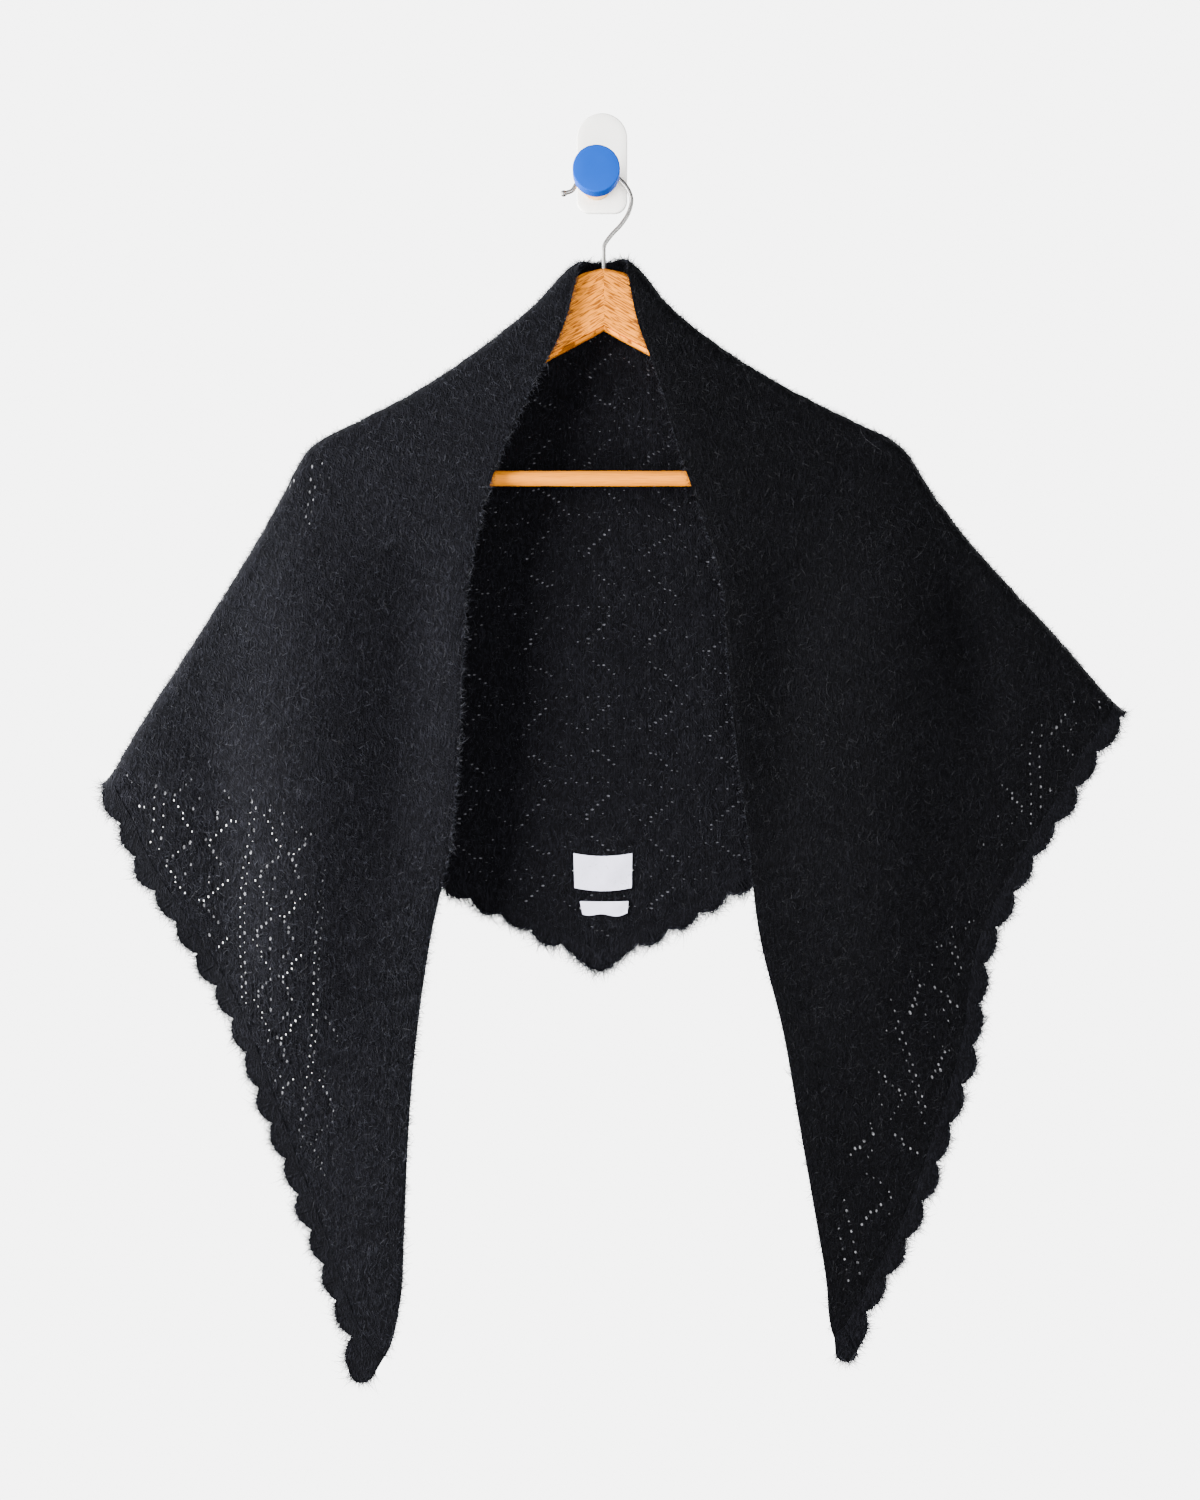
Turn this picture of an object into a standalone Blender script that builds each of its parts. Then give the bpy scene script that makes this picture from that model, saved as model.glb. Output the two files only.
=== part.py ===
"""A knit shawl draped over a wooden hanger, whose hook hangs on a round wall knob.

Metres, +Z up, the front faces -Y. The origin is the middle of the wall plate's back.
The shawl is one flat triangle. It is folded over the hanger's arms into a back and two fronts.
Tables and sizes are in millimetres: x is to the right, drop is below the origin,
forward is in front of the wall, and run and depth are places on the flat triangle:
run goes along the neck edge from the centre back, depth goes square to it.
"""

import math
from collections import namedtuple

import bmesh
import bpy
import numpy as np

MM = 0.001
SIDES = ("left", "right")

# The shawl as cut
NECK_HALF = 894
DEPTH = 533
CLOTH = 2.5
SEAM = 0.4
BAND = 7
SCALLOP = 6
NOTCH = 3.5
CORNER_GAP = 0.9
FRONT_SCALLOPS = 18
BACK_SCALLOPS = 17
APEX_SCALLOP = 28
SIDE_LEAN = math.atan2(DEPTH, NECK_HALF)
TRIM = (BAND + NOTCH) / math.cos(SIDE_LEAN)

# The fold over the hanger: how far it rounds out to each side, and down
FOLD_OUT = 9
FOLD_DOWN = 9
FOLD_FADE = 28
FOLD_SHARE = 0.7
NECK_TURN = (8, 19)
SHOULDER = (220, 138)
CORNER_RUN = {"left": 475, "right": 442}

Place = namedtuple("Place", "run x drop forward")

# The free neck edge of each front, from the hanger down to its tip
NECK_EDGE = {
    "left": [
        Place(19, -16, 77, 26),
        Place(67, -28, 125, 28),
        Place(119, -50, 170, 32),
        Place(171, -72, 217, 37),
        Place(220, -87, 261, 38),
        Place(276, -98, 314, 38),
        Place(335, -102, 372, 39),
        Place(402, -105, 437, 38),
        Place(475, -111, 507, 38),
        Place(551, -126, 580, 38),
        Place(633, -137, 659, 38),
        Place(708, -142.5, 731, 39),
        Place(775, -145, 796, 40),
        Place(827, -148, 846, 41),
        Place(864, -157, 881, 42),
        Place(894, -175, 902, 42),
    ],
    "right": [
        Place(19, 17, 75, 26),
        Place(67, 26, 122, 28),
        Place(119, 43, 170, 32),
        Place(171, 56, 218, 37),
        Place(220, 71, 262, 38),
        Place(276, 87, 313, 38),
        Place(335, 92, 369, 40),
        Place(402, 98, 432, 40),
        Place(475, 107, 500, 39),
        Place(551, 115, 573, 38),
        Place(633, 133, 648, 38),
        Place(708, 145, 717, 39),
        Place(775, 156, 780, 40),
        Place(827, 164, 828, 41),
        Place(864, 168, 865, 42),
        Place(894, 179, 888, 42),
    ],
}

# The fold line, over the hanger's arm to its end and then down the free wing to its corner
FOLD_LINE = {
    "left": [
        Place(0, 1, 75, 17),
        Place(19, -16, 77, 17),
        Place(60, -53, 112.5, 18),
        Place(101, -93, 144.5, 19),
        Place(142, -134, 172.5, 21),
        Place(183, -177, 196, 24),
        Place(220, -215.5, 218, 27),
        Place(253, -234, 251, 29),
        Place(291, -255, 289, 31),
        Place(335, -281, 332, 33),
        Place(380, -308, 375, 35),
        Place(425, -335, 417, 37),
        Place(475, -363, 466, 39),
    ],
    "right": [
        Place(0, 1, 75, 17),
        Place(19, 17, 75, 17),
        Place(60, 53, 113.5, 18),
        Place(101, 94, 145.5, 19),
        Place(142, 137, 172, 21),
        Place(183, 181, 195, 24),
        Place(220, 221, 217, 27),
        Place(253, 242, 249, 29),
        Place(291, 267, 283, 31),
        Place(335, 300, 321, 33),
        Place(380, 334, 358, 35),
        Place(417, 361, 390, 37),
        Place(442, 379, 411, 38),
    ],
}

# The scalloped side of each front, from the wing's corner down to the tip
SIDE_EDGE = {
    "left": [
        Place(475, -363, 466, 48),
        Place(522, -344, 516, 47),
        Place(574, -312, 565, 46),
        Place(633, -276, 624, 45),
        Place(693, -252, 688, 44),
        Place(752, -230, 752, 43),
        Place(805, -212, 808, 42),
        Place(849, -200, 858, 42),
        Place(894, -180, 904, 42),
    ],
    "right": [
        Place(442, 379, 411, 47),
        Place(492, 351, 462, 47),
        Place(551, 314, 521, 46),
        Place(611, 285, 582, 45),
        Place(670, 276, 650, 44),
        Place(730, 258, 715, 43),
        Place(790, 236, 780, 42),
        Place(842, 209, 835, 42),
        Place(894, 184, 889, 42),
    ],
}

# Where the last scallop of each front ends, below the neck edge
TIP = {"left": Place(NECK_HALF, -174, 905, 42), "right": Place(NECK_HALF, 178, 890, 42)}

# The scalloped hem of the back, from the point at the centre out to the wing's corner
HEM = {
    "left": [
        Place(0, -2, 603, 9),
        Place(58, -60, 574, 9),
        Place(116, -119, 543, 10),
        Place(194, -171, 517, 10),
        Place(268, -220, 494, 11),
        Place(343, -272, 477, 15),
        Place(417, -325, 467, 23),
        Place(475, -363, 466, 30),
    ],
    "right": [
        Place(0, -2, 603, 9),
        Place(58, 56, 574, 9),
        Place(112, 110, 541, 10),
        Place(194, 177, 506, 10),
        Place(268, 239, 478, 13),
        Place(343, 301, 449, 18),
        Place(395, 343, 429, 24),
        Place(442, 379, 411, 29),
    ],
}

# Soft vertical folds of the back, which grow from nothing at the fold line to full height at the hem
Flute = namedtuple("Flute", "run half_width height")
FLUTES = {
    "left": [Flute(176, 44, 20), Flute(262, 44, 26), Flute(344, 40, 24), Flute(417, 34, 11)],
    "right": [Flute(172, 46, 17), Flute(262, 47, 22), Flute(350, 42, 15)],
}

# Long soft ridges and troughs of the fronts: a trough has a height below zero
Crease = namedtuple("Crease", "x drop low_x low_drop width height")
CREASE_RISE = 0.3
CREASE_END = 1.25
CREASE_FADE = 0.45
CREASE_CLEAR = 35
CREASES = {
    "left": [
        Crease(-214, 226, -226, 640, 44, 8),
        Crease(-128, 250, -152, 520, 26, -4),
        Crease(-290, 380, -268, 600, 24, -4),
    ],
    "right": [
        Crease(218, 226, 204, 640, 40, 7),
        Crease(150, 256, 118, 530, 30, -5),
        Crease(256, 296, 282, 420, 20, -4),
    ],
}

# Grid of the cloth walls: stations along the neck edge, and rows from the fold inwards
FIRST_STATION = 5
FOLD_STATIONS = 31
TURN_STATIONS = (8, 17, 27, 38)
SIDE_STATIONS = 15
NECK_STATIONS = (0, 8, 13.5, 19)
TIP_CLEAR = 4
WING_CLEAR = 3
EDGE_CLEAR = 0.1
ROUND_WALK = 14
ROUND_LEAST = 5
ROUND_ROWS = 3
FRONT_ROWS = 6
BACK_ROWS = 7

# Form of the scallops
SCALLOP_STEPS = 5
LOBE_POWER = 0.7
APEX_POWER = 0.8
APEX_EXTRA = 1.5
KNOT_APART = 1.4
CORNER_REACH = 14
END_CLEAR = 1.5

# The hanger: two arms mitred at the middle, a trouser bar and a wire hook
HANGER_X = 1.5
HANGER_FORWARD = 16.5
ARM_REACH = 222
ARM_BOW = 11
BOW_POWER = 1.6
ARM_THICK = 12
ARM_BEVEL = 4
MITRE = 0.15
BAR_DROP = 235
BAR_RADIUS = 5.7
BAR_REACH = 213
SEAT_START = 120
SEAT_ROOM = 0.35
WIRE_RADIUS = 1.6
WIRE_STEP = 4
WIRE_SIDES = 8

ArmRow = namedtuple("ArmRow", "reach top bottom")
ARM = [
    ArmRow(0, 81.5, 127.5),
    ArmRow(20, 87.5, 138.5),
    ArmRow(38, 103, 148),
    ArmRow(55, 119, 157.5),
    ArmRow(75, 135.5, 167.5),
    ArmRow(94, 150, 177),
    ArmRow(115, 164, 187),
    ArmRow(135, 176.5, 198),
    ArmRow(157, 189, 212),
    ArmRow(179, 201, 227),
    ArmRow(198, 213.5, 240),
    ArmRow(211, 222, 247),
    ArmRow(219, 228, 247),
    ArmRow(222, 233, 242),
]

WirePoint = namedtuple("WirePoint", "x drop")
WIRE = [
    WirePoint(1.5, 80.9),
    WirePoint(1.4, 72),
    WirePoint(1.9, 64),
    WirePoint(6.5, 57),
    WirePoint(14.5, 48.3),
    WirePoint(20.3, 38.6),
    WirePoint(22.0, 30.2),
    WirePoint(19.5, 22.5),
    WirePoint(12.5, 14.5),
    WirePoint(5.5, 9.5),
    WirePoint(-2.5, 8.0),
    WirePoint(-11.5, 11.5),
    WirePoint(-19.5, 18.0),
    WirePoint(-23.5, 23.4),
    WirePoint(-29.3, 24.8),
]

# The wire's round end: how far each ring lies past the wire, and its radius
BallRing = namedtuple("BallRing", "past radius")
BALL = [BallRing(0.3, 2.1), BallRing(1.2, 2.42), BallRing(2.4, 2.1), BallRing(3.3, 0.9)]

# The wall hook: a plate, a stem and a round knob
PLATE_WIDTH = 38
PLATE_HEIGHT = 73.6
PLATE_THICK = 4.5
PLATE_CORNER = 7
KNOB_X = -2.5
STEM_DROP = 18.5
STEM_RADIUS = 8.4
STEM_LENGTH = 31.7
DISC_RADIUS = 16.8
DISC_THICK = 14
DISC_EDGE = 0.8
JOIN_GAP = 0.3

# The two blank labels sewn on the inside of the back
Label = namedtuple("Label", "name x top bottom half_width")
LABELS = [
    Label("label_large", 0.7, 517, 543.5, 21),
    Label("label_small", 1.5, 553, 563, 17.5),
]
LABEL_THICK = 1.0
LABEL_SEARCH = 60

# Colour, roughness and metallic value of each material
FINISHES = {
    "knit": ((0.012, 0.012, 0.015), 0.95, 0.0),
    "edging": ((0.010, 0.010, 0.013), 0.95, 0.0),
    "label": ((0.80, 0.78, 0.86), 0.8, 0.0),
    "wood": ((0.62, 0.30, 0.12), 0.45, 0.0),
    "pale_wood": ((0.80, 0.48, 0.22), 0.5, 0.0),
    "steel": ((0.62, 0.61, 0.60), 0.3, 1.0),
    "plate_white": ((0.86, 0.85, 0.83), 0.5, 0.0),
    "knob_blue": ((0.03, 0.22, 0.78), 0.55, 0.0),
}


def curve(rows, column, key, at):
    """Smooth value of one column of a table at each place along its key column."""
    xs = np.array([getattr(row, key) for row in rows], float)
    ys = np.array([getattr(row, column) for row in rows], float)
    slopes = np.gradient(ys, xs)
    k = np.clip(np.searchsorted(xs, at, side="right") - 1, 0, len(xs) - 2)
    width = xs[k + 1] - xs[k]
    t = np.clip((at - xs[k]) / width, 0, 1)
    start = (2 * t**3 - 3 * t**2 + 1) * ys[k] + (t**3 - 2 * t**2 + t) * width * slopes[k]
    end = (3 * t**2 - 2 * t**3) * ys[k + 1] + (t**3 - t**2) * width * slopes[k + 1]
    return start + end


def path(rows, run):
    """x, drop and forward of a table's curve at each run."""
    return np.stack([curve(rows, name, "run", run) for name in ("x", "drop", "forward")], axis=-1)


def ease(t):
    """Smooth step from 0 to 1."""
    t = np.clip(t, 0, 1)
    return t * t * (3 - 2 * t)


def side_depth(run):
    """Depth of the scalloped side on the flat triangle."""
    return DEPTH * (1 - run / NECK_HALF)


def fold_depth(side, run):
    """Depth of the fold line on the flat triangle."""
    corner = CORNER_RUN[side]
    runs = [NECK_TURN[1], SHOULDER[0], corner]
    return np.interp(run, runs, [0, SHOULDER[1], side_depth(corner)])


def panel_corner(side):
    """Run at which the fold line meets the inner line of the scalloped band."""
    runs = np.linspace(SHOULDER[0], CORNER_RUN[side], 2000)
    room = side_depth(runs) - TRIM - fold_depth(side, runs)
    return float(np.interp(0, -room, runs))


def wrap(outer, inner, walked, closing, way):
    """Point walked, as a share of the way from the outer line to the inner one.

    Near the fold line the cloth rounds over by a quarter of an ellipse. The way is +1
    for a front, which lies before its fold line, and -1 for the back. Closing fades the round.
    """
    across = inner[:, :2] - outer[:, :2]
    length = np.maximum(np.linalg.norm(across, axis=1), 1e-6)
    down = np.minimum(FOLD_DOWN, FOLD_SHARE * length) * closing
    out = FOLD_OUT * closing
    arc = math.pi / 2 * np.sqrt((down**2 + out**2) / 2)
    walk = walked * (length - down + arc)
    turned = np.where(arc > 0, np.clip(walk / np.maximum(arc, 1e-6), 0, 1), 1) * math.pi / 2
    passed = np.where(walk < arc, down * (1 - np.cos(turned)), down + walk - arc)
    share = passed / length
    flat = outer[:, :2] + across * share[:, None]
    forward = outer[:, 2] + (inner[:, 2] - outer[:, 2]) * share
    forward = forward - way * out * (1 - np.sin(turned))
    return flat, forward, passed


def crease_height(side, flat):
    """Forward push of the fronts' soft ridges and troughs at each x, drop."""
    total = np.zeros(len(flat))
    for crease in CREASES[side]:
        start = np.array([crease.x, crease.drop])
        line = np.array([crease.low_x, crease.low_drop]) - start
        length = np.linalg.norm(line)
        along = (flat - start) @ line / length**2
        aside = ((flat - start) @ np.array([-line[1], line[0]])) / length
        rise = ease(along / CREASE_RISE) * ease((CREASE_END - along) / CREASE_FADE)
        total += crease.height * np.exp(-((aside / crease.width) ** 2)) * rise
    return total


def front_outer(side, run):
    """Outer line of a front: the fold line's front face, then the scalloped side."""
    fold = path(FOLD_LINE[side], run)
    fold[:, 2] += FOLD_OUT
    free = path(SIDE_EDGE[side], run)
    return np.where((run <= CORNER_RUN[side])[:, None], fold, free)


def front_point(side, run, depth):
    """Middle of a front's wall at flat places run, depth."""
    corner = CORNER_RUN[side]
    full = np.where(run <= corner, fold_depth(side, run), side_depth(run))
    closing = 1 - ease((run - corner) / FOLD_FADE)
    walked = 1 - depth / np.maximum(full, 1e-6)
    flat, forward, passed = wrap(front_outer(side, run), path(NECK_EDGE[side], run), walked, closing, 1)
    settled = np.where(closing > 0, ease(passed / CREASE_CLEAR), 1)
    forward = forward + settled * crease_height(side, flat)
    return np.column_stack([flat, forward])


def back_point(side, run, depth):
    """Middle of the back's wall at flat places run, depth."""
    top = fold_depth(side, run)
    outer = path(FOLD_LINE[side], run)
    outer[:, 2] -= FOLD_OUT
    closing = ease((run - NECK_TURN[0]) / (NECK_TURN[1] - NECK_TURN[0]))
    walked = (depth - top) / np.maximum(side_depth(run) - top, 1e-6)
    flat, forward, _ = wrap(outer, path(HEM[side], run), walked, closing, -1)
    for flute in FLUTES[side]:
        bump = 0.5 + 0.5 * np.cos(np.clip((run - flute.run) / flute.half_width, -1, 1) * math.pi)
        forward = forward + flute.height * bump * ease(walked)
    return np.column_stack([flat, forward])


def to_space(points):
    """x, drop, forward to Blender's x, y, z, still in millimetres."""
    return np.stack([points[..., 0], -points[..., 2], -points[..., 1]], axis=-1)


def unit(vectors):
    """The vectors at length 1."""
    return vectors / np.linalg.norm(vectors, axis=-1, keepdims=True)


def grid_normals(grid):
    """Unit normal at each point of a grid, from its neighbours."""
    return unit(np.cross(np.gradient(grid, axis=0), np.gradient(grid, axis=1)))


def row_shares(rounded, rows):
    """Shares of the walk at which a station's rows lie: a few round the fold, the rest even."""
    first = np.linspace(0, rounded, ROUND_ROWS + 1)
    return np.concatenate([first, np.linspace(rounded, 1, rows + 1)[1:]])


def fold_stations(side):
    """Runs of the stations that a front and the back share along the fold line."""
    start = NECK_TURN[1] + FIRST_STATION
    return np.linspace(start, panel_corner(side), FOLD_STATIONS)


def front_grid(side):
    """Grid of the middle of a front's wall, from the neck down to the tip."""
    folded = fold_stations(side)
    last = NECK_HALF * (1 - TRIM / DEPTH) - TIP_CLEAR
    turning = folded[-1] + np.array(TURN_STATIONS)
    free = np.linspace(turning[-1], last, SIDE_STATIONS)[1:]
    grid = []
    for run in np.concatenate([folded, turning, free]):
        corner = CORNER_RUN[side]
        full = fold_depth(side, run) if run <= corner else side_depth(run)
        start = SEAM / 2 + EDGE_CLEAR if run <= folded[-1] else full - (side_depth(run) - TRIM)
        span = full - start
        rounded = min(max(ROUND_WALK - start, ROUND_LEAST), span / 2) / span
        depths = span * (1 - row_shares(rounded, FRONT_ROWS))
        grid.append(front_point(side, np.full(len(depths), run), depths))
    return to_space(np.array(grid))


def back_half(side):
    """Stations of the back's grid on one side, from the centre out to the wing."""
    folded = fold_stations(side)
    columns = []
    for run in np.concatenate([NECK_STATIONS, folded[:-1], [folded[-1] - WING_CLEAR]]):
        top = float(fold_depth(side, run))
        start = SEAM / 2 + EDGE_CLEAR if run > NECK_TURN[0] else 0
        span = side_depth(run) - TRIM - top - start
        rounded = min(ROUND_WALK, span / 2) / span
        depths = top + start + span * row_shares(rounded, BACK_ROWS)
        columns.append(back_point(side, np.full(len(depths), run), depths))
    return columns


def back_grid():
    """Grid of the middle of the back's wall, from the left wing to the right one."""
    return to_space(np.array(back_half("left")[:0:-1] + back_half("right")))


def material(name):
    """The named material, made once."""
    made = bpy.data.materials.get(name)
    if made:
        return made
    colour, roughness, metallic = FINISHES[name]
    made = bpy.data.materials.new(name)
    made.use_nodes = True
    shader = made.node_tree.nodes["Principled BSDF"]
    shader.inputs["Base Color"].default_value = (*colour, 1)
    shader.inputs["Roughness"].default_value = roughness
    shader.inputs["Metallic"].default_value = metallic
    made.diffuse_color = (*colour, 1)
    return made


def add_object(name, mesh, finish, smooth_angle=40):
    """Object of this mesh with its own material, shaded smooth up to the angle."""
    mesh.materials.append(material(finish))
    mesh.shade_smooth()
    mesh.set_sharp_from_angle(angle=math.radians(smooth_angle))
    obj = bpy.data.objects.new(name, mesh)
    bpy.context.scene.collection.objects.link(obj)
    return obj


def mesh_of(name, points, faces):
    """Mesh from points in millimetres, with its faces turned outwards."""
    mesh = bpy.data.meshes.new(name)
    mesh.from_pydata((np.asarray(points) * MM).tolist(), [], faces)
    shape = bmesh.new()
    shape.from_mesh(mesh)
    bmesh.ops.recalc_face_normals(shape, faces=shape.faces)
    if shape.calc_volume(signed=True) < 0:
        bmesh.ops.reverse_faces(shape, faces=shape.faces)
    shape.to_mesh(mesh)
    shape.free()
    return mesh


def wall(name, grid, normals, thick, finish):
    """Closed wall of the given thickness around a grid of points."""
    rows, columns = grid.shape[:2]
    half = normals * thick / 2
    points = np.concatenate([(grid + half).reshape(-1, 3), (grid - half).reshape(-1, 3)])
    under = rows * columns

    def index(i, j, layer=0):
        return layer * under + i * columns + j

    faces = []
    for i in range(rows - 1):
        for j in range(columns - 1):
            faces.append([index(i, j), index(i + 1, j), index(i + 1, j + 1), index(i, j + 1)])
            faces.append([index(i, j, 1), index(i, j + 1, 1), index(i + 1, j + 1, 1), index(i + 1, j, 1)])
    rim = [(i, 0) for i in range(rows)] + [(rows - 1, j) for j in range(1, columns)]
    rim += [(i, columns - 1) for i in range(rows - 2, -1, -1)] + [(0, j) for j in range(columns - 2, 0, -1)]
    for here, after in zip(rim, rim[1:] + rim[:1]):
        faces.append([index(*here), index(*here, 1), index(*after, 1), index(*after)])
    return add_object(name, mesh_of(name, points, faces), finish)


def outward_of(edge, normals, inside):
    """Unit direction in the cloth, square to its edge and away from the inside points."""
    outward = unit(np.cross(normals, np.gradient(edge, axis=0)))
    sign = np.sign(np.sum(outward * (edge - inside), axis=1))
    return outward * sign[:, None]


def lobe(distance, pitch):
    """Height of a scallop, 0 to 1, at a distance along the edge from a notch."""
    return np.sin(math.pi * ((distance / pitch) % 1)) ** LOBE_POWER


def scallop_knots(marks, fixed):
    """Places along an edge: the wall's own corners, and the scallops' steps that lie clear of them."""
    clear = [m for m in marks if np.min(np.abs(fixed - m)) > KNOT_APART]
    return np.sort(np.concatenate([fixed, clear]))


def arc_length(points):
    """Distance along a line of points at each of them."""
    return np.concatenate([[0], np.cumsum(np.linalg.norm(np.diff(points, axis=0), axis=1))])


def sampled(values, fixed, knots):
    """Rows of values, known at the fixed places, read at the knots."""
    return np.stack([np.interp(knots, fixed, values[:, axis]) for axis in range(3)], axis=1)


def edging(name, edge, normals, outward, height_of, marks):
    """Scalloped crochet band along a wall's edge, whose width follows height_of."""
    fixed = arc_length(edge)
    knots = scallop_knots(marks, fixed)
    base, lift, out = (sampled(values, fixed, knots) for values in (edge, normals, outward))
    width = height_of(knots)[:, None]
    from_end = np.minimum(knots, knots[-1] - knots)[:, None]
    gap = SEAM + CORNER_GAP * (1 - ease(from_end / CORNER_REACH))
    grid = np.stack([base + out * gap, base + out * (gap + width)], axis=1)
    return wall(name, grid, np.stack([lift, lift], axis=1), CLOTH, "edging")


def front_edging(side, grid, normals):
    """Band down the side of a front, with its last scallop drawn out to the tip."""
    first = FOLD_STATIONS - 1
    edge = grid[first:, 0]
    lift = normals[first:, 0]
    out = outward_of(edge, lift, grid[first:, 2])
    tip = to_space(np.array(TIP[side][1:], float))
    out[-1] = unit(tip - edge[-1])
    total = arc_length(edge)[-1]
    pitch = total / (FRONT_SCALLOPS - 0.5)
    marks = np.arange(0.5, FRONT_SCALLOPS * SCALLOP_STEPS) / SCALLOP_STEPS * pitch
    marks = marks[marks < total - END_CLEAR]
    reach = np.linalg.norm(tip - edge[-1])

    def width(along):
        scallops = BAND + SCALLOP * lobe(along + pitch / 2, pitch)
        return scallops + (reach - scallops) * ease((along - total + pitch) / pitch)

    return edging("front_" + side + "_edging", edge, lift, out, width, marks)


def back_edging(grid, normals):
    """Band along the whole hem of the back, with a wide pointed scallop at the centre."""
    edge = grid[:, -1]
    lift = normals[:, -1]
    out = outward_of(edge, lift, grid[:, -3])
    fixed = arc_length(edge)
    middle = fixed[len(back_half("left")) - 1]
    total = fixed[-1]

    def width(along):
        away = np.abs(along - middle)
        span = np.where(along < middle, middle, total - middle) - APEX_SCALLOP
        pitch = span / (BACK_SCALLOPS - 0.5)
        apex = (1 - np.clip(away / APEX_SCALLOP, 0, 1)) ** APEX_POWER
        scallops = lobe(np.maximum(away - APEX_SCALLOP, 0), pitch)
        return BAND + SCALLOP * np.where(away < APEX_SCALLOP, apex, scallops) + apex * APEX_EXTRA

    marks = []
    for span, sign in ((middle, -1), (total - middle, 1)):
        pitch = (span - APEX_SCALLOP) / (BACK_SCALLOPS - 0.5)
        steps = np.arange(0, (BACK_SCALLOPS - 0.5) * SCALLOP_STEPS) / SCALLOP_STEPS * pitch
        marks += list(middle + sign * (APEX_SCALLOP + steps))
    marks = [m for m in marks if END_CLEAR < m < total - END_CLEAR]
    return edging("back_edging", edge, lift, out, width, marks)


def make_cloth():
    """The back, the two fronts and their scalloped bands."""
    for side in SIDES:
        grid = front_grid(side)
        normals = grid_normals(grid)
        wall("front_" + side, grid, normals, CLOTH, "knit")
        front_edging(side, grid, normals)
    grid = back_grid()
    normals = grid_normals(grid)
    wall("back", grid, normals, CLOTH, "knit")
    back_edging(grid, normals)


def back_front_face(x, drop):
    """Forward of the back's front face near the centre, found by its run and depth."""
    side = "left" if x < 0 else "right"
    best = None
    for run in np.linspace(0, LABEL_SEARCH, 25):
        depths = np.linspace(0, side_depth(run) - TRIM, 200)
        points = back_point(side, np.full(len(depths), run), depths)
        away = np.hypot(points[:, 0] - x, points[:, 1] - drop)
        k = int(np.argmin(away))
        if best is None or away[k] < best[0]:
            best = (away[k], points[k, 2])
    return best[1] + CLOTH / 2


def make_label(label):
    """Blank label that lies on the back's inside, following its form."""
    xs = np.linspace(label.x - label.half_width, label.x + label.half_width, 5)
    drops = np.linspace(label.top, label.bottom, 3)
    forward = [[back_front_face(x, drop) for drop in drops] for x in xs]
    level = np.max(forward) + SEAM + LABEL_THICK / 2
    grid = np.array([[(x, -level, -drop) for drop in drops] for x in xs])
    normals = np.broadcast_to(np.array([0.0, -1.0, 0.0]), grid.shape)
    wall(label.name, grid, normals, LABEL_THICK, "label")


def arm_bow(reach):
    """How far forward of the middle an arm curves at this reach."""
    return ARM_BOW * (reach / ARM_REACH) ** BOW_POWER


def arm_section(reach, sign):
    """Eight corners of an arm's bevelled section."""
    top = float(curve(ARM, "top", "reach", np.array([reach]))[0])
    bottom = float(curve(ARM, "bottom", "reach", np.array([reach]))[0])
    middle = HANGER_FORWARD + arm_bow(reach)
    half = ARM_THICK / 2
    bevel = min(ARM_BEVEL, (bottom - top) / 3)
    outline = [
        (half - bevel, top),
        (half, top + bevel),
        (half, bottom - bevel),
        (half - bevel, bottom),
        (bevel - half, bottom),
        (-half, bottom - bevel),
        (-half, top + bevel),
        (bevel - half, top),
    ]
    x = HANGER_X + sign * max(reach, MITRE)
    return [(x, -(middle + out), -drop) for out, drop in outline]


def ring_faces(rings, sides):
    """Faces of a tube of rings with closed ends."""
    faces = []
    for i in range(rings - 1):
        for j in range(sides):
            k = (j + 1) % sides
            faces.append([i * sides + j, i * sides + k, (i + 1) * sides + k, (i + 1) * sides + j])
    faces.append(list(range(sides)))
    faces.append(list(range((rings - 1) * sides, rings * sides)))
    return faces


def cylinder(name, radius, start, end, sides=20):
    """Straight round rod between two points along X or Y, in millimetres."""
    start, end = np.array(start, float), np.array(end, float)
    along = unit(end - start)
    first = np.cross(along, (0, 0, 1))
    second = np.cross(along, first)
    angles = np.arange(sides) * 2 * math.pi / sides
    ring = radius * (np.cos(angles)[:, None] * first + np.sin(angles)[:, None] * second)
    return mesh_of(name, np.concatenate([start + ring, end + ring]), ring_faces(2, sides))


def add_bevel(obj, width, segments):
    """Rounded edges of an object, with its render as its viewport."""
    bevel = obj.modifiers.new("edges", "BEVEL")
    bevel.width = width * MM
    bevel.segments = segments
    bevel.limit_method = "ANGLE"
    bevel.angle_limit = math.radians(50)


def cut(obj, cutter):
    """Take the cutter's shape out of the object."""
    cutter.hide_render = True
    cutter.display_type = "WIRE"
    hole = obj.modifiers.new("bar_seat", "BOOLEAN")
    hole.operation = "DIFFERENCE"
    hole.solver = "EXACT"
    hole.object = cutter


def make_arms():
    """The two arms, each with a blind seat for the trouser bar."""
    forward = HANGER_FORWARD + arm_bow(BAR_REACH)
    reaches = [row.reach for row in ARM]
    for side, sign in zip(SIDES, (-1, 1)):
        name = "hanger_arm_" + side
        rings = [arm_section(reach, sign) for reach in reaches]
        arm = add_object(name, mesh_of(name, np.concatenate(rings), ring_faces(len(rings), 8)), "wood")
        reach_in = (SEAT_START, BAR_REACH + JOIN_GAP)
        seat = [(HANGER_X + sign * reach, -forward, -BAR_DROP) for reach in reach_in]
        name = "bar_seat_" + side
        drill = add_object(name, cylinder(name, BAR_RADIUS + SEAT_ROOM, *seat), "wood")
        cut(arm, drill)
    ends = [(HANGER_X + sign * BAR_REACH, -forward, -BAR_DROP) for sign in (-1, 1)]
    add_object("hanger_bar", cylinder("hanger_bar", BAR_RADIUS, *ends), "pale_wood")


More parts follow.
